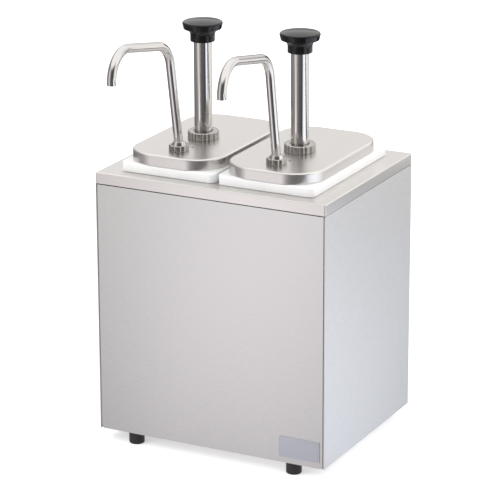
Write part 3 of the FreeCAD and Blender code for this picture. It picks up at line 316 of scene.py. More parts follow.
def tint(material, factor, first, second):
    """Blend two colours by noise into the base colour."""
    tree = material.node_tree
    ramp = tree.nodes.new("ShaderNodeValToRGB")
    for element, position, colour in zip(ramp.color_ramp.elements, (0.3, 0.7), (first, second)):
        element.position = position
        element.color = (*colour, 1)
    tree.links.new(factor, ramp.inputs["Fac"])
    tree.links.new(ramp.outputs["Color"], surface_of(material).inputs["Base Color"])


def emboss(material, factor, depth):
    """Bump of a depth in millimetres. A second call lies on top of the first."""
    tree = material.node_tree
    normal = surface_of(material).inputs["Normal"]
    bump = tree.nodes.new("ShaderNodeBump")
    bump.inputs["Distance"].default_value = depth * MM
    if normal.links:
        tree.links.new(normal.links[0].from_socket, bump.inputs["Normal"])
    tree.links.new(factor, bump.inputs["Height"])
    tree.links.new(bump.outputs["Normal"], normal)


def shade(colour, factor):
    return tuple(channel * factor for channel in colour)


def steel(name, colour, line, roughness, depth, mottle=0.02, brushed=0.0):
    """Stainless steel with a fine grain whose lines measure about line (x, y, z) millimetres.

    Brushed steel blurs reflections across its level grain more than along it.
    """
    material = new_material(name, Metallic=1.0, Roughness=roughness)
    if brushed:
        surface = surface_of(material)
        surface.inputs["Anisotropic"].default_value = brushed
        surface.inputs["Anisotropic Rotation"].default_value = 0.25
        round_z = material.node_tree.nodes.new("ShaderNodeTangent")
        round_z.direction_type = "RADIAL"
        round_z.axis = "Z"
        material.node_tree.links.new(round_z.outputs["Tangent"], surface.inputs["Tangent"])
    lines = grain(material, line, detail=5.0)
    tint(material, lines, shade(colour, 1 - mottle), shade(colour, 1 + mottle))
    spread(material, lines, roughness * 0.88, roughness * 1.12, surface_of(material).inputs["Roughness"])
    emboss(material, lines, depth)
    clouds = grain(material, (60, 60, 60), detail=2.0)
    emboss(material, clouds, 0.02)
    return material


def plastic(name, dark, light, roughness, pore, depth, **sockets):
    """Moulded plastic with a faint cloudiness and a fine surface texture."""
    material = new_material(name, **sockets)
    tint(material, grain(material, (30, 30, 30), detail=2.0), dark, light)
    skin_noise = grain(material, (pore, pore, pore), detail=3.0)
    spread(material, skin_noise, roughness * 0.85, roughness * 1.15,
           surface_of(material).inputs["Roughness"])
    emboss(material, skin_noise, depth)
    return material


def make_materials():
    warm, plain = (0.70, 0.68, 0.66), (0.66, 0.655, 0.65)
    return {
        "deck_steel": steel("deck_steel", warm, (40, 0.3, 0.3), 0.30, 0.004),
        "panel_steel": steel("panel_steel", plain, (9, 9, 0.8), 0.36, 0.012, mottle=0.055, brushed=0.85),
        "lid_steel": steel("lid_steel", warm, (0.25, 30, 0.25), 0.33, 0.003),
        "bare_steel": steel("bare_steel", plain, (12, 12, 0.3), 0.30, 0.004),
        "polished_steel": steel("polished_steel", (0.61, 0.59, 0.575), (6, 6, 0.12), 0.10, 0.0008,
                                mottle=0.015),
        "turned_steel": steel("turned_steel", (0.43, 0.41, 0.395), (3, 3, 0.3), 0.11, 0.0012, mottle=0.03),
        "spring_steel": steel("spring_steel", shade(plain, 0.85), (3, 3, 0.4), 0.28, 0.002),
        "badge_foil": steel("badge_foil", (0.56, 0.59, 0.64), (0.3, 0.3, 12), 0.38, 0.003),
        "foot_rubber": plastic("foot_rubber", (0.012, 0.010, 0.009), (0.020, 0.017, 0.015), 0.55, 0.35,
                               0.02),
        "seal_rubber": plastic("seal_rubber", (0.02, 0.02, 0.02), (0.03, 0.03, 0.03), 0.42, 0.3, 0.01),
        "jar_plastic": plastic("jar_plastic", (0.83, 0.83, 0.835), (0.87, 0.87, 0.87), 0.30, 0.8, 0.004,
                               Subsurface_Weight=0.08, Subsurface_Scale=0.002),
        "knob_plastic": plastic("knob_plastic", (0.004, 0.004, 0.005), (0.008, 0.008, 0.009), 0.11, 1.2,
                                0.001, IOR=1.36),
        "bush_plastic": plastic("bush_plastic", (0.70, 0.69, 0.66), (0.76, 0.75, 0.72), 0.42, 0.5, 0.006),
        "valve_plastic": plastic("valve_plastic", (0.66, 0.66, 0.63), (0.74, 0.74, 0.71), 0.40, 0.6, 0.008),
    }


MATERIALS = make_materials()


def dress(piece, node, finish=None):
    """Give the piece its finish and let it stand for the CAD node."""
    piece.data.materials.clear()
    piece.data.materials.append(MATERIALS[finish or SLOT_OF[node]])
    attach(piece, BODY_OF[node])
    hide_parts(node)
    return piece


def refined_name(node):
    return f"{node}_refined"


# ------------------------------------------------------------------ cabinet
SHEET = 1.2


def shell(name, width, depth, corner, centre, profile):
    """A pressed shell: rounded rectangles set in by each inset at each height, capped at both ends."""
    rings = [level_ring(rectangle(width - 2 * inset, depth - 2 * inset, corner - inset, centre), height)
             for inset, height in profile]
    return skin(name, rings, False)


def make_deck():
    low, high = box_mm("top_deck")
    middle_of_deck = ((low.x + high.x) / 2, (low.y + high.y) / 2)
    bend, flat = 1.4, 4.0
    profile = rounded([(flat, high.z - SHEET), (SHEET, high.z - SHEET, 0.4), (SHEET, low.z, 0.3),
                       (0, low.z, 0.3), (0, high.z, bend), (flat, high.z)], closed=False)
    deck = shell(refined_name("top_deck"), high.x - low.x, high.y - low.y, bend, middle_of_deck, profile)
    opening_width, opening_depth, opening_corner, opening_shift = 121.0, 202.0, 38.0, -3.0
    tools = []
    for side in STATIONS:
        spot = (middle(f"{side}_plunger_tube").x, opening_shift)
        outline = rectangle(opening_width, opening_depth, opening_corner, spot)
        tools.append(prism("opening", outline, low.z - PAST, high.z + PAST, upright=False))
    dress(ease(carve(deck, *tools), 0.25), "top_deck")


def make_front_panel():
    low, high = box_mm("front_panel")
    corner = 3.0
    outline = rounded([(low.x, low.z, corner), (high.x, low.z, corner), (high.x, high.z, 0.4),
                       (low.x, high.z, 0.4)], closed=True)
    panel = prism(refined_name("front_panel"), outline, low.y, high.y, upright=True)
    dress(ease(panel, 0.35, 3), "front_panel")


def make_badge():
    """Blank plate with a rounded edge and a fine engraved border."""
    low, high = box_mm("badge_plate")
    corner, edge, border, line, sunk = 1.5, 0.3, 1.6, 0.8, 0.5
    steps = rounded([(0, high.y), (0, low.y, edge), (border, low.y), (border + line / 2, low.y + sunk),
                     (border + line, low.y), (border + 2 * line, low.y)], closed=False)
    spot = ((low.x + high.x) / 2, (low.z + high.z) / 2)
    rings = []
    for inset, back in steps:
        outline = rectangle(high.x - low.x - 2 * inset, high.z - low.z - 2 * inset, corner - inset, spot)
        rings.append([(point.x, back, point.y) for point in outline])
    dress(ease(skin(refined_name("badge_plate"), rings, False), 0), "badge_plate")


def recess(radius, low, high):
    """Cross-shaped driver recess on the Z axis, as two crossed bars that narrow towards low."""
    bars = []
    for across, along in ((radius, radius / 3), (radius / 3, radius)):
        rings = []
        for height, share in ((low, 0.55), (high, 1.0)):
            rings.append([(x * across * share, y * along * share, height)
                          for x, y in ((-1, -1), (1, -1), (1, 1), (-1, 1))])
        bars.append(skin("bar", rings, False))
    return bars


def place_copies(name, piece, matrices):
    """Copies of a piece at each placement, joined into one object."""
    copies = []
    for matrix in matrices:
        copy = piece.copy()
        copy.data = piece.data.copy()
        copy.data.transform(matrix)
        bpy.context.scene.collection.objects.link(copy)
        copies.append(copy)
    bpy.data.objects.remove(piece)
    return joined(name, copies)


def foot_spots():
    low, high = box_mm("rubber_feet")
    return [(x, y) for x in (low.x + FOOT_RADIUS, high.x - FOOT_RADIUS)
            for y in (low.y + FOOT_RADIUS, high.y - FOOT_RADIUS)]


def move(across, back):
    return Matrix.Translation(Vector((across, back, 0)) * MM)


def make_feet():
    height = box_mm("rubber_feet")[1].z
    recess_radius, recess_depth, bore = 5.0, 5.0, 2.05
    profile = rounded([(recess_radius, 0, 0.4), (FOOT_RADIUS, 0, 2.0), (FOOT_RADIUS, height, 0.5),
                       (bore, height), (bore, recess_depth), (recess_radius, recess_depth, 0.3)], closed=True)
    foot = turned("foot", profile, (0, 0))
    feet = place_copies(refined_name("rubber_feet"), foot, [move(*spot) for spot in foot_spots()])
    dress(ease(feet, 0), "rubber_feet")


def make_foot_fasteners():
    spots = [move(*spot) for spot in foot_spots()]
    low, high = box_mm("foot_screws")
    head_radius, head_height, shank = 4.0, 2.4, 2.0
    profile = rounded([(0, high.z), (shank, high.z, 0.4), (shank, low.z + head_height, 0.1),
                       (head_radius, low.z + head_height, 0.3), (head_radius, low.z, 1.1), (0, low.z)],
                      closed=False)
    blank = turned("screw", profile, (0, 0), closed=False, count=48)
    deep, reach = 1.5, 2.1
    bars = recess(reach, low.z + deep, low.z - PAST)
    screws = place_copies(refined_name("foot_screws"), carve(blank, *bars), spots)
    dress(ease(screws, 0.08), "foot_screws")

    low, high = box_mm("foot_washers")
    bore, rim = 2.05, 4.5
    profile = rounded([(bore, low.z, 0.15), (rim, low.z, 0.2), (rim, high.z, 0.2), (bore, high.z, 0.15)],
                      closed=True)
    washers = place_copies(refined_name("foot_washers"), turned("washer", profile, (0, 0)), spots)
    dress(ease(washers, 0), "foot_washers")

    low, high = box_mm("foot_nuts")
    sides, corner_radius = 6, 4.0
    flat = corner_radius * math.cos(math.pi / sides)

    def hexagon(angle):
        pitch = 2 * math.pi / sides
        return flat / math.cos(angle % pitch - pitch / 2)

    def chamfered(angle):
        return min(hexagon(angle), flat + 0.05)

    count, chamfer, lead = 120, 0.35, 0.3
    heights = ((low.z, chamfered), (low.z + chamfer, hexagon), (high.z - chamfer, hexagon),
               (high.z, chamfered))
    rings = [level_ring([Vector((reach(angle) * math.cos(angle), reach(angle) * math.sin(angle)))
                         for angle in (2 * math.pi * index / count for index in range(count))], height)
             for height, reach in heights]
    for height, radius in ((high.z, bore + lead), (high.z - lead, bore), (low.z + lead, bore),
                           (low.z, bore + lead)):
        rings.append(level_ring(arc((0, 0), radius, 0, 360 - 360 / count, count - 1), height))
    nuts = place_copies(refined_name("foot_nuts"), skin("nut", rings, True), spots)
    dress(ease(nuts, 0), "foot_nuts")


def make_back_screws():
    """Pan-head screws, turned upright and then laid down with their heads at the back."""
    low, high = box_mm("back_panel_screws")
    head_radius, head_height, shank = 3.5, 2.0, 1.75
    length = high.y - low.y
    profile = rounded([(0, 0), (shank, 0, 0.5), (shank, length - head_height, 0.1),
                       (head_radius, length - head_height, 0.2), (head_radius, length, 1.2), (0, length)],
                      closed=False)
    blank = turned("screw", profile, (0, 0), closed=False, count=48)
    deep, reach = 1.3, 1.9
    bars = recess(reach, length - deep, length + PAST)
    lay_down = Matrix.Rotation(math.radians(-90), 4, "X")
    levels = (low.z + head_radius, (low.z + high.z) / 2, high.z - head_radius)
    spots = [Matrix.Translation(Vector((across, low.y, level)) * MM) @ lay_down
             for across in (low.x + head_radius, high.x - head_radius) for level in levels]
    screws = place_copies(refined_name("back_panel_screws"), carve(blank, *bars), spots)
    dress(ease(screws, 0.08), "back_panel_screws")


def make_cabinet():
    make_deck()
    make_front_panel()
    make_badge()
    make_feet()
    make_foot_fasteners()
    make_back_screws()
    for node, width in (("left_side_panel", 0.35), ("right_side_panel", 0.35), ("back_panel", 0.3),
                        ("bottom_pan", 0.3), ("deck_centre_brace", 0.35)):
        dress(ease(cad_copy(node), width), node)


# ------------------------------------------------------------------ jar and lid
def make_jar(side):
    """Tapered jar with round floor edges, a turned-down rim and a raised lip."""
    node = f"{side}_jar"
    low, high = box_mm(node)
    across = (low.x + high.x) / 2
    body_back, wall = -3.0, 2.5
    rim_top, rim_bottom, skirt = high.z - 3.5, DECK_TOP, 2.5
    rim_width, rim_depth, rim_corner = high.x - low.x, high.y - low.y, 9.0
    mouth, floor = (118.0, 200.0, 37.0), (106.0, 184.0, 31.0)

    def body_ring(height, inset=0.0):
        share = (height - low.z) / (high.z - low.z)
        width, depth, corner = (start + (end - start) * share for start, end in zip(floor, mouth))
        outline = rectangle(width - 2 * inset, depth - 2 * inset, corner - inset, (across, body_back))
        return level_ring(outline, height)

    def rim_ring(height, inset=0.0):
        outline = rectangle(rim_width - 2 * inset, rim_depth - 2 * inset, rim_corner - inset, (across, 0))
        return level_ring(outline, height)

    def rounded_floor(height, radius, inset):
        """Rings that turn from the flat floor up into the wall."""
        turn = [math.radians(90 * step / 8) for step in range(9)]
        return [body_ring(height + radius * (1 - math.cos(angle)), inset + radius * (1 - math.sin(angle)))
                for angle in turn]

    under = rim_top - skirt
    rings = rounded_floor(low.z, 7.0, 0.0)
    rings += [body_ring(under - 1.0), body_ring(under - 0.3, -0.3), rim_ring(under, skirt + 1.0)]
    rings += [rim_ring(height, inset) for inset, height in
              rounded([(skirt, under), (skirt, rim_bottom, 0.8), (0, rim_bottom, 1.0), (0, rim_top, 2.2),
                       (6.0, rim_top)], closed=False, steps=6)[1:-1]]
    lip_base, lip_round = rim_top, 1.1
    rings += [body_ring(lip_base, -0.5), body_ring(lip_base + 0.5)]
    lip_turns = [math.radians(turn) for turn in (0, 22, 45, 68, 90)]
    rings += [body_ring(high.z - lip_round + lip_round * math.sin(turn),
                        lip_round - lip_round * math.cos(turn)) for turn in lip_turns]
    rings += [body_ring(high.z - lip_round + lip_round * math.sin(turn),
                        wall - lip_round + lip_round * math.cos(turn)) for turn in reversed(lip_turns)]
    rings += rounded_floor(low.z + wall, 6.0, wall)[::-1]
    dress(ease(skin(refined_name(node), rings, False), 0), node)


def make_lid(side):
    """Drawn steel lid with a rolled edge, pierced for the pump neck, the fitting and a vent."""
    node = f"{side}_lid"
    low, high = box_mm(node)
    across, corner, gauge, roll, flat = middle(f"{side}_plunger_tube").x, 40.0, 1.0, 2.6, 8.0
    width, depth, back = 124.8, 208.0, -4.0
    profile = rounded([(flat, high.z - gauge), (gauge, high.z - gauge, roll - gauge), (gauge, low.z, 0.25),
                       (0, low.z, 0.45), (0, high.z, roll), (flat, high.z)], closed=False, steps=8)
    lid = shell(refined_name(node), width, depth, corner, (across, back), profile)
    neck, stub = middle(f"{side}_locking_collar"), middle(f"{side}_riser_tube")
    neck_hole, stub_hole, vent_hole = 16.0, 8.2, 1.7
    vent_across, vent_back = 9.0, -57.0
    holes = [((neck.x, neck.y), neck_hole), ((stub.x, stub.y), stub_hole),
             ((across + vent_across, vent_back), vent_hole)]
    tools = [drill(spot, radius, high.z - gauge - PAST, high.z + PAST) for spot, radius in holes]
    dress(ease(carve(lid, *tools), 0.15), node)


# ------------------------------------------------------------------ pump
def spot_of(node):
    place = middle(node)
    return (place.x, place.y)


def make_turned(node, profile, closed=True, count=ROUND):
    """A turned piece whose profile heights are in the row frame."""
    dress(ease(turned(refined_name(node), profile, spot_of(node), closed, count), 0.0), node)


def tube_profile(inner, outer, low, high, edge=0.25):
    return rounded([(inner, low, edge), (outer, low, edge), (outer, high, edge), (inner, high, edge)],
                   closed=True, steps=3)


def make_collar(side):
    """Fluted hand nut with an inward lip over the bushing."""
    node = f"{side}_locking_collar"
    low, high = box_mm(node)
    outer, bore, hole, lip = 19.5, 15.85, 12.4, 1.5
    flutes, cut_radius, cut_depth = 16, 2.4, 0.9
    reach = scalloped(outer, flutes, cut_radius, outer + cut_radius - cut_depth)
    chamfer = 1.3
    profile = [(0.4, low.z), (0, low.z + 0.4), (0, high.z - chamfer), (0.25, high.z - chamfer * 0.55),
               (chamfer, high.z)]
    profile += [(0, height, radius) for radius, height in rounded(
        [(hole + 3, high.z), (hole, high.z, 0.5), (hole, high.z - lip, 0.2), (bore, high.z - lip, 0.2),
         (bore, low.z, 0.3), (bore + 0.8, low.z)], closed=False, steps=3)]
    collar = shaped(refined_name(node), profile, spot_of(node), reach, flutes * 20)
    dress(ease(collar, 0.0), node, "turned_steel")


def make_bushing(side):
    node = f"{side}_guide_bushing"
    low, high = box_mm(node)
    bore, sleeve, flange, thickness = 11.15, 13.45, 15.75, 1.5
    make_turned(node, rounded([(bore, low.z, 0.3), (sleeve, low.z, 0.5), (sleeve, high.z - thickness, 0.2),
                               (flange, high.z - thickness, 0.2), (flange, high.z, 0.3), (bore, high.z, 0.5)],
                              closed=True))


def make_cylinder(side):
    node = f"{side}_pump_cylinder"
    low, high = box_mm(node)
    bore, barrel, neck, shoulder = 13.5, 15.0, 15.8, 20.0
    shoulder_top = box_mm(f"{side}_lid")[1].z - 1.0
    shoulder_bottom = shoulder_top - 4.0
    profile = [(bore, low.z, 0.3), (barrel, low.z, 0.4), (barrel, shoulder_bottom, 1.0),
               (shoulder, shoulder_bottom, 0.6), (shoulder, shoulder_top, 0.4), (neck, shoulder_top, 0.3)]
    turns, pitch, depth = 3, 1.8, 0.35
    for turn in range(turns):
        base = shoulder_top + 1.4 + turn * pitch
        profile += [(neck, base), (neck - depth, base + pitch * 0.3), (neck, base + pitch * 0.6)]
    profile += [(neck, high.z, 0.4), (bore, high.z, 0.3)]
    make_turned(node, rounded(profile, closed=True, steps=3))


def make_plunger(side):
    node = f"{side}_plunger_tube"
    low, high = box_mm(node)
    make_turned(node, tube_profile(10.1, 11.1, low.z, high.z, 0.3), count=128)


def make_piston(side):
    node = f"{side}_piston"
    low, high = box_mm(node)
    head, spigot, guide, groove = 13.42, 10.05, 8.6, 11.0
    head_top = high.z - 14.0
    head_bottom = head_top - 17.0
    groove_top = head_top - 6.7
    groove_bottom = groove_top - 3.6
    make_turned(node, rounded([(0, low.z), (guide, low.z, 0.8), (guide, head_bottom, 0.6),
                               (head, head_bottom, 0.7), (head, groove_bottom, 0.2),
                               (groove, groove_bottom, 0.3), (groove, groove_top, 0.3),
                               (head, groove_top, 0.2), (head, head_top, 0.7),
                               (spigot, head_top, 0.5), (spigot, high.z, 1.0), (0, high.z)], closed=False),
                closed=False)
    node = f"{side}_piston_seal"
    low, high = box_mm(node)
    inner, outer = 11.05, 13.46
    make_turned(node, rounded([(inner, low.z, 0.4), (outer, low.z, 0.9), (outer, high.z, 0.9),
                               (inner, high.z, 0.4)], closed=True))


def make_knob(side):
    """Mushroom knob: neck, hollow flare, tapered band and a low dome."""
    node = f"{side}_knob"
    low = box_mm(node)[0].z
    neck, bore, depth = 15.2, 11.15, 13.3
    neck_top, flare_top, flare = 7.3, 15.6, 8.3
    cap_low, cap_high, shoulder, top = 23.4, 25.5, 24.3, 26.3
    chord = math.hypot(cap_low - neck, flare_top - neck_top)
    tilt = math.atan2(flare_top - neck_top, cap_low - neck)
    reach = math.sqrt(flare ** 2 - (chord / 2) ** 2)
    centre = ((neck + cap_low) / 2 + reach * math.sin(tilt),
              (neck_top + flare_top) / 2 - reach * math.cos(tilt))
    start = math.degrees(math.atan2(neck_top - centre[1], neck - centre[0])) % 360
    end = math.degrees(math.atan2(flare_top - centre[1], cap_low - centre[0])) % 360
    hollow = [tuple(point) for point in arc(centre, flare, start, end, 12)]
    edge = 2.2
    dome_edge = cap_high - edge
    rise = top - shoulder
    dome = (dome_edge ** 2 + rise ** 2) / (2 * rise)
    half_span = math.degrees(math.asin(dome_edge / dome))
    crown = [tuple(point) for point in arc((0, top - dome), dome, 90 - half_span, 90, 16)]
    outline = [(bore, 0, 0.4), (neck, 0, 0.9)] + hollow[:-1]
    outline += [(*hollow[-1], 0.7), (cap_high, shoulder, edge)]
    outline += crown[1:-1] + [(0, top), (0, depth), (bore, depth, 0.5)]
    profile = [(max(radius, 0), low + height) for radius, height in rounded(outline, closed=True, steps=6)]
    make_turned(node, profile, count=128)


def make_spring(side):
    """Compression spring with closed end coils."""
    node = f"{side}_return_spring"
    low, high = box_mm(node)
    wire, radius, turns, closed_turns = 0.9, 11.1, 14, 1.0
    spot = middle(f"{side}_plunger_tube")
    start, end = low.z + wire, high.z - wire
    solid_pitch = 2 * wire * 1.02
    open_turns = turns - 2 * closed_turns
    open_pitch = (end - start - 2 * closed_turns * solid_pitch) / open_turns
    per_turn, section = 40, 12
    rings = []
    for step in range(turns * per_turn + 1):
        turn = step / per_turn
        lead = min(turn, closed_turns) + max(turn - turns + closed_turns, 0)
        height = start + lead * solid_pitch + (turn - lead) * open_pitch
        angle = 2 * math.pi * turn
        outward = Vector((math.cos(angle), math.sin(angle), 0))
        slope = (solid_pitch if turn < closed_turns or turn > turns - closed_turns else open_pitch)
        along = Vector((-math.sin(angle), math.cos(angle), slope / (2 * math.pi * radius))).normalized()
        upward = outward.cross(along)
        centre = Vector((spot.x, spot.y, height)) + outward * radius
        rings.append([centre + (outward * math.cos(turn_round) + upward * math.sin(turn_round)) * wire
                      for turn_round in (2 * math.pi * index / section for index in range(section))])
    spring = dress(ease(skin(refined_name(node), rings, False), 0), node)
    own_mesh(spring)


def make_valves(side):
    dress(ease(cad_copy(f"{side}_valve_body"), 0.5, 3), f"{side}_valve_body")
    node = f"{side}_inlet_seat"
    low, high = box_mm(node)
    body, mouth, throat = 10.0, 6.8, 4.2
    make_turned(node, rounded([(throat, low.z, 0.5), (body, low.z, 0.4), (body, high.z, 0.4),
                               (mouth, high.z, 0.2), (throat, high.z - mouth + throat, 0.3)], closed=True))
    node = f"{side}_ball_stop_pin"
    low, high = box_mm(node)
    radius, length = 1.2, high.x - low.x
    profile = rounded([(0, 0), (radius, 0, 0.4), (radius, length, 0.4), (0, length)], closed=False)
    pin = turned(refined_name(node), profile, (0, 0), closed=False, count=32)
    centre = middle(node)
    pin.data.transform(Matrix.Translation(Vector((low.x, centre.y, centre.z)) * MM)
                       @ Matrix.Rotation(math.radians(90), 4, "Y"))
    dress(ease(pin, 0), node)
    for name in ("inlet_ball", "outlet_ball"):
        node = f"{side}_{name}"
        low, high = box_mm(node)
        radius, centre = (high.z - low.z) / 2, middle(node)
        profile = [(max(point.x, 0), point.y) for point in arc((0, centre.z), radius, -90, 90, 32)]
        make_turned(node, profile, closed=False, count=64)


def make_gaskets(side):
    for name, inner, outer in (("cylinder_gasket", 13.5, 15.0), ("fitting_gasket", 8.05, 13.0)):
        node = f"{side}_{name}"
        low, high = box_mm(node)
        make_turned(node, tube_profile(inner, outer, low.z, high.z, 0.3))
    node = f"{side}_spout_o_ring"
    low, high = box_mm(node)
    section, centre = (high.z - low.z) / 2, middle(node)
    ring_radius = (high.x - low.x) / 2 - section
    make_turned(node, arc((ring_radius, centre.z), section, 0, 345, 23))


# ------------------------------------------------------------------ discharge side
TUBE_RADIUS, TUBE_WALL = 5.555, 1.0
SPOUT_TURN = {"left": 0.0, "right": 3.8}      # degrees out of straight ahead


def make_riser(side):
    node = f"{side}_riser_tube"
    low, high = box_mm(node)
    make_turned(node, tube_profile(5.35, 6.35, low.z, high.z))


def make_fitting(side):
    node = f"{side}_discharge_fitting"
    low, high = box_mm(node)
    socket, lower, flange, stub, bore = 6.4, 9.5, 13.0, 8.0, 5.605
    flange_bottom, flange_top, riser_top = low.z + 16.0, low.z + 19.0, low.z + 9.0
    groove, groove_low, groove_high = 7.5, low.z + 12.6, low.z + 15.2
    make_turned(node, rounded([(socket, low.z, 0.3), (lower, low.z, 0.6), (lower, flange_bottom, 0.5),
                               (flange, flange_bottom, 0.5), (flange, flange_top, 0.3),
                               (stub, flange_top, 0.2), (stub, high.z, 0.4), (bore, high.z, 0.3),
                               (bore, groove_high, 0.1), (groove, groove_high, 0.2),
                               (groove, groove_low, 0.2), (bore, groove_low, 0.1), (bore, riser_top),
                               (socket, riser_top, 0.1)], closed=True, steps=3))


def make_spout_nut(side):
    """Lobed hand nut with a dished top."""
    node = f"{side}_spout_nut"
    low, high = box_mm(node)
    outer, lobes, cut_radius, cut_offset = 12.4, 8, 4.2, 15.6
    reach = scalloped(outer, lobes, cut_radius, cut_offset)
    bore, lip, lip_low, lip_high = 8.05, 6.75, low.z + 3.1, low.z + 4.4
    dish_low, dish_high, edge = 8.2, 9.6, 0.9
    profile = [(0.5, low.z), (0.1, low.z + 0.3), (0, low.z + 0.8), (0, high.z - edge),
               (edge * 0.3, high.z - edge * 0.3), (edge, high.z)]
    profile += [(0, height, radius) for radius, height in rounded(
        [(dish_high + 0.9, high.z), (dish_high, high.z, 0.4), (dish_low, lip_high, 0.3),
         (lip, lip_high, 0.2), (lip, lip_low, 0.2), (bore, lip_low, 0.2), (bore, low.z, 0.3),
         (bore + 1.0, low.z)],
        closed=False, steps=3)]
    nut = shaped(refined_name(node), profile, spot_of(f"{side}_riser_tube"), reach, lobes * 32)
    dress(ease(nut, 0.0), node, "turned_steel")


def spout_route():
    """Centre line of the spout from the deck, with tangent arcs at its bends."""
    lean, rise = math.radians(10.17), math.radians(10.6)
    foot, lean_level, leg_top, reach, outlet = 14.8, 32.0, 161.8, 160.1, 144.5
    elbow = -(leg_top - lean_level) * math.tan(lean)
    tip = leg_top + (reach + elbow) * math.tan(rise)
    base_bend, elbow_bend, tip_bend = 30.0, 36.0, 33.0
    corners = [(0, foot), (0, lean_level, base_bend), (elbow, leg_top, elbow_bend), (-reach, tip, tip_bend),
               (-reach, outlet)]
    points = rounded(corners, closed=False, steps=28)
    route = []
    for first, last in zip(points, points[1:]):
        pieces = max(1, round((last - first).length / 12))
        route += [first.lerp(last, step / pieces) for step in range(pieces)]
    return route + [points[-1]]


def sweep(name, route, radius, place, wall=0.0):
    """A pipe along a route of (forward, height) points that is laid in the row frame by a matrix."""
    sideways = Vector((1, 0, 0))
    stations = [Vector((0, forward, height)) for forward, height in route]
    rings, count = [], 48

    def ring(index, size, push=0.0):
        before, after = stations[max(index - 1, 0)], stations[min(index + 1, len(stations) - 1)]
        along = (after - before).normalized()
        across = sideways.cross(along)
        centre = stations[index] + along * push
        return [place @ (centre + (sideways * math.cos(angle) + across * math.sin(angle)) * size)
                for angle in (2 * math.pi * step / count for step in range(count))]

    last, edge = len(stations) - 1, 0.3
    rings += [ring(0, radius - edge), ring(0, radius, edge)] if wall else [ring(0, radius)]
    rings += [ring(index, radius) for index in range(1, last)]
    if not wall:
        return skin(name, rings + [ring(last, radius)], False)
    rings += [ring(last, radius, -edge), ring(last, radius - 0.09, -0.09), ring(last, radius - edge),
              ring(last, radius - wall + edge), ring(last, radius - wall + 0.09, -0.09),
              ring(last, radius - wall, -edge)]
    rings += [ring(index, radius - wall) for index in range(last - 1, 0, -1)]
    rings += [ring(0, radius - wall, edge), ring(0, radius - wall + edge)]
    return skin(name, rings, True)


def make_spout(side):
    """Bent tube with a round lip, and the flared ferrule brazed to its foot."""
    axis = middle(f"{side}_riser_tube")
    place = (Matrix.Translation((axis.x, axis.y, DECK_TOP))
             @ Matrix.Rotation(math.radians(SPOUT_TURN[side]), 4, "Z"))
    node = f"{side}_spout_tube"
    route = spout_route()
    dress(ease(sweep(refined_name(node), route, TUBE_RADIUS, place, TUBE_WALL), 0), node)

    node = f"{side}_spout_ferrule"
    bottom = box_mm(node)[0].z
    bead, hub, flare, top = 7.6, 6.4, 9.0, 7.2
    bead_top, flare_bottom, flare_rim, flare_top = 1.1, 3.0, 5.0, 9.8
    profile = rounded([(0, 0), (bead, 0, 0.5), (bead, bead_top, 0.5), (hub, bead_top, 0.3),
                       (hub, flare_bottom, 0.4), (flare - 0.5, flare_bottom, 0.5), (flare, flare_rim, 0.7),
                       (top, flare_top, 0.8),
                       (0, flare_top)], closed=False)
    blank = turned(refined_name(node), [(max(radius, 0), bottom + height) for radius, height in profile],
                   (axis.x, axis.y), closed=False)
    dress(ease(carve(blank, sweep("core", route, TUBE_RADIUS + 0.01, place)), 0), node)


def make_station(side):
    for maker in (make_jar, make_lid, make_collar, make_bushing, make_cylinder, make_plunger, make_piston,
                  make_knob, make_spring, make_valves, make_gaskets, make_riser, make_fitting, make_spout_nut,
                  make_spout):
        maker(side)


# ------------------------------------------------------------------ studio
# Azimuths are in degrees from the front (-Y) towards the right (+X). Each band is (azimuth, brightness).
BANDS = ((-180, 1.04), (-140, 1.04), (-124, 0.60), (-98, 0.36), (-66, 0.30), (-52, 0.45), (-44, 1.00),
         (-24, 1.05), (-16, 0.60), (0, 0.35), (10, 0.14), (62, 0.12), (72, 0.45), (80, 0.80), (90, 1.55),
         (116, 1.50), (128, 1.15), (150, 1.30), (170, 1.30), (180, 1.04))
BAND_PEAK = 1.6
# A grey gap low in the cards behind the object: direction, cosines of its sides, sines of its top, tone.
GAP_WAY, GAP_SIDES, GAP_TOP, GAP_TONE = (-0.139, 0.990), (0.883, 0.94), (0.12, 0.20), 0.36
SKY_LOW, SKY_HIGH = 0.45, 0.75         # sines of the elevations where the bands turn into the sky
SKY = (1.42, 1.41, 1.40)
# The floor in reflections. Its cards are (metres across the way to the rear right, brightness).
REAR_RIGHT = (0.454, 0.891)            # a level direction
# Painted floor brightness along that way, darker near the object as painted shade: from and to a distance in
# metres, and the share at each.
FRONT_GLOW_AND_SHADE = (0.10, 1.1, 0.68, 1.50)
REAR_GLOW_AND_SHADE = (0.10, 1.0, 0.96, 1.22)
FRONT_CARDS = ((-0.50, 0.22), (-0.26, 0.36), (-0.12, 0.62), (0.01, 0.98), (0.12, 1.08), (0.22, 1.02),
               (0.42, 0.22), (0.8, 0.11))
REAR_CARDS = ((-0.6, 0.40), (-0.2, 0.55), (0.06, 0.72), (0.12, 0.92), (0.20, 1.12), (0.35, 1.35), (0.6, 1.5))
FRONT_HUE, REAR_HUE = (1.03, 0.985, 1.02), (0.94, 0.985, 1.08)
CARD_REACH = 1.0
GLOW_END = (1.6, 1.9, 0.0, 1.0)
REAR_STRIPE, REAR_END = (1.00, 1.08, 1.0, 0.06), (1.36, 1.42, 0.0, 1.0)


def link(tree, start, end):
    tree.links.new(start, end)


def maths(tree, operation, first, second=None):
    """A maths node on sockets or plain numbers."""
    node = tree.nodes.new("ShaderNodeMath")
    node.operation = operation
    for socket, value in zip(node.inputs, (first, second)):
        if value is None:
            continue
        if isinstance(value, (int, float)):
            socket.default_value = value
        else:
            link(tree, value, socket)
    return node.outputs["Value"]


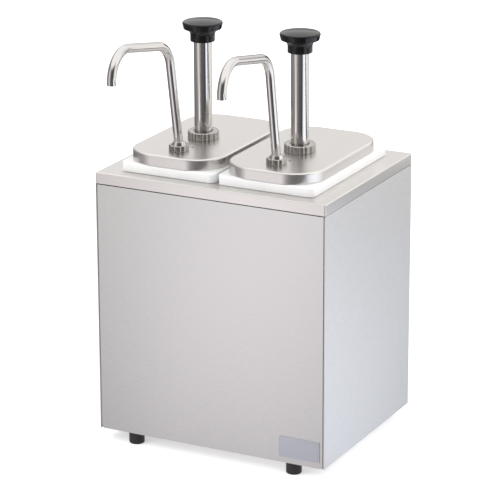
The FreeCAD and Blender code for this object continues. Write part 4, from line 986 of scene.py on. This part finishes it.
def mapped(tree, value, start, end, first, last):
    """A socket's value turned from one range into another."""
    node = tree.nodes.new("ShaderNodeMapRange")
    for name, number in (("From Min", start), ("From Max", end), ("To Min", first), ("To Max", last)):
        node.inputs[name].default_value = number
    link(tree, value, node.inputs["Value"])
    return node.outputs["Result"]


def blended(tree, factor, first, second):
    """A colour between two, each of them a socket or three plain channels."""
    node = tree.nodes.new("ShaderNodeMix")
    node.data_type = "RGBA"
    link(tree, factor, node.inputs["Factor"])
    for name, colour in (("A", first), ("B", second)):
        if isinstance(colour, (list, tuple)):
            node.inputs[name].default_value = (*colour, 1)
        else:
            link(tree, colour, node.inputs[name])
    return node.outputs["Result"]


def brightness_ramp(tree, value, cards):
    """Brightness from (value, brightness) stops within CARD_REACH of nought."""
    ramp = tree.nodes.new("ShaderNodeValToRGB")
    fill_ramp(ramp, [(at / CARD_REACH / 2 + 0.5, brightness) for at, brightness in cards], (1, 1, 1))
    link(tree, mapped(tree, value, -CARD_REACH, CARD_REACH, 0, 1), ramp.inputs["Fac"])
    return maths(tree, "MULTIPLY", ramp.outputs["Color"], BAND_PEAK)


def fill_ramp(ramp, stops, colour):
    """Set a ramp's (position, brightness) stops as shares of the brightest band."""
    elements = ramp.color_ramp.elements
    while len(elements) < len(stops):
        elements.new(1.0)
    for element, (position, brightness) in zip(elements, stops):
        element.position = position
        element.color = (*[channel * brightness / BAND_PEAK for channel in colour], 1)


def project(tree, place, direction):
    """How far a place lies along a level direction."""
    node = tree.nodes.new("ShaderNodeVectorMath")
    node.operation = "DOT_PRODUCT"
    link(tree, place, node.inputs[0])
    node.inputs[1].default_value = (*direction, 0)
    return node.outputs["Value"]


def make_world():
    """White to the camera. Reflections and soft light see bright and dark cards round the horizon."""
    world = bpy.data.worlds.new("studio")
    bpy.context.scene.world = world
    world.use_nodes = True
    tree = world.node_tree
    background = tree.nodes["Background"]
    output = tree.nodes["World Output"]
    coordinates = tree.nodes.new("ShaderNodeTexCoord")
    parts = tree.nodes.new("ShaderNodeSeparateXYZ")
    link(tree, coordinates.outputs["Generated"], parts.inputs["Vector"])
    backwards = maths(tree, "MULTIPLY", parts.outputs["Y"], -1.0)
    azimuth = maths(tree, "ARCTAN2", parts.outputs["X"], backwards)
    turn = maths(tree, "ADD", maths(tree, "DIVIDE", azimuth, 2 * math.pi), 0.5)
    ramp = tree.nodes.new("ShaderNodeValToRGB")
    fill_ramp(ramp, [(angle / 360 + 0.5, brightness) for angle, brightness in BANDS], (1.0, 0.985, 0.975))
    link(tree, turn, ramp.inputs["Fac"])
    height = tree.nodes.new("ShaderNodeMapRange")
    height.interpolation_type = "SMOOTHSTEP"
    height.inputs["From Min"].default_value = SKY_LOW
    height.inputs["From Max"].default_value = SKY_HIGH
    link(tree, parts.outputs["Z"], height.inputs["Value"])
    behind = mapped(tree, project(tree, coordinates.outputs["Generated"], GAP_WAY), *GAP_SIDES, 0, 1)
    above = mapped(tree, parts.outputs["Z"], *GAP_TOP, 1, 0)
    low_cards = blended(tree, maths(tree, "MULTIPLY", behind, above), ramp.outputs["Color"],
                        [GAP_TONE / BAND_PEAK] * 3)
    surroundings = blended(tree, height.outputs["Result"], low_cards,
                           [channel / BAND_PEAK for channel in SKY])
    background.inputs["Strength"].default_value = BAND_PEAK
    link(tree, surroundings, background.inputs["Color"])
    white = tree.nodes.new("ShaderNodeBackground")
    white.inputs["Color"].default_value = (1, 1, 1, 1)
    path = tree.nodes.new("ShaderNodeLightPath")
    choose = tree.nodes.new("ShaderNodeMixShader")
    link(tree, path.outputs["Is Camera Ray"], choose.inputs["Fac"])
    link(tree, background.outputs["Background"], choose.inputs[1])
    link(tree, white.outputs["Background"], choose.inputs[2])
    link(tree, choose.outputs["Shader"], output.inputs["Surface"])


def make_floor():
    """Pale floor. Reflections see cards on it, and further out they pass through it to the studio. To
    reflections the floor is an emission that paints its lit brightness, with painted shade near the object.
    """
    reach = 14000.0
    floor = new_piece("floor", [(point.x, point.y, 0) for point in arc((0, 0), reach, 0, 357, 119)],
                      [tuple(range(120))])
    material = bpy.data.materials.new("floor")
    material.use_nodes = True
    tree = material.node_tree
    surface = surface_of(material)
    surface.inputs["Base Color"].default_value = (0.82, 0.82, 0.82, 1)
    surface.inputs["Roughness"].default_value = 1.0
    surface.inputs["Specular IOR Level"].default_value = 0.0
    surface.inputs["Emission Color"].default_value = (1, 1, 1, 1)
    surface.inputs["Emission Strength"].default_value = 0.42
    place = tree.nodes.new("ShaderNodeTexCoord")
    along = project(tree, place.outputs["Object"], REAR_RIGHT)
    across = project(tree, place.outputs["Object"], (REAR_RIGHT[1], -REAR_RIGHT[0]))
    behind = mapped(tree, along, -0.05, 0.05, 0, 1)
    outward = maths(tree, "ABSOLUTE", along)
    # Painted shade: the floor glow seen in reflections dims towards the object's base.
    front_level, rear_level = mapped(tree, outward, *FRONT_GLOW_AND_SHADE), mapped(tree, outward, *REAR_GLOW_AND_SHADE)
    front = maths(tree, "MULTIPLY", front_level, brightness_ramp(tree, across, FRONT_CARDS))
    rear = maths(tree, "MULTIPLY", rear_level, brightness_ramp(tree, across, REAR_CARDS))
    rear = maths(tree, "MULTIPLY", rear, mapped(tree, along, *REAR_STRIPE))
    level = tree.nodes.new("ShaderNodeMix")
    link(tree, behind, level.inputs["Factor"])
    link(tree, front, level.inputs["A"])
    link(tree, rear, level.inputs["B"])
    glow = tree.nodes.new("ShaderNodeEmission")
    link(tree, blended(tree, behind, FRONT_HUE, REAR_HUE), glow.inputs["Color"])
    link(tree, level.outputs["Result"], glow.inputs["Strength"])
    clear = tree.nodes.new("ShaderNodeBsdfTransparent")
    mirrored = tree.nodes.new("ShaderNodeMixShader")
    ended = maths(tree, "MAXIMUM", mapped(tree, outward, *GLOW_END), mapped(tree, along, *REAR_END))
    link(tree, ended, mirrored.inputs["Fac"])
    link(tree, glow.outputs["Emission"], mirrored.inputs[1])
    link(tree, clear.outputs["BSDF"], mirrored.inputs[2])
    path = tree.nodes.new("ShaderNodeLightPath")
    choose = tree.nodes.new("ShaderNodeMixShader")
    link(tree, path.outputs["Is Glossy Ray"], choose.inputs["Fac"])
    link(tree, surface.outputs["BSDF"], choose.inputs[1])
    link(tree, mirrored.outputs["Shader"], choose.inputs[2])
    link(tree, choose.outputs["Shader"], tree.nodes["Material Output"].inputs["Surface"])
    floor.data.materials.append(material)


def make_softbox(name, place, size, power):
    """A square area light that faces the middle of the object and does not show in its reflections."""
    light = bpy.data.lights.new(name, "AREA")
    light.shape = "SQUARE"
    light.size = size
    light.energy = power
    lamp = bpy.data.objects.new(name, light)
    bpy.context.scene.collection.objects.link(lamp)
    lamp.location = place
    lamp.visible_glossy = False
    target = Vector((0, 0, 0.3))
    lamp.rotation_mode = "QUATERNION"
    lamp.rotation_quaternion = (Vector(place) - target).to_track_quat("Z", "Y")


def make_camera():
    """A long lens from the front right, a little above the lids."""
    azimuth, elevation, roll = (math.radians(angle) for angle in (27.156, 17.983, -0.198))
    target, distance = Vector((-0.0078, 0.0, 0.2355)), 3.3407
    back = Vector((math.sin(azimuth) * math.cos(elevation), -math.cos(azimuth) * math.cos(elevation),
                   math.sin(elevation)))
    camera = bpy.data.cameras.new("camera")
    camera.sensor_width = 36.0
    camera.lens = 192.29
    viewer = bpy.data.objects.new("camera", camera)
    bpy.context.scene.collection.objects.link(viewer)
    viewer.location = target + back * distance
    viewer.rotation_mode = "QUATERNION"
    viewer.rotation_quaternion = back.to_track_quat("Z", "Y") @ Quaternion((0, 0, 1), roll)
    bpy.context.scene.camera = viewer


def make_studio():
    bpy.context.scene.view_settings.view_transform = "Standard"
    make_world()
    make_floor()
    make_softbox("key_light", (-1.1, -1.9, 1.5), 1.4, 24.0)
    make_softbox("fill_light", (2.0, 0.2, 1.4), 1.4, 14.0)
    make_camera()


make_studio()
make_cabinet()
for station in STATIONS:
    make_station(station)
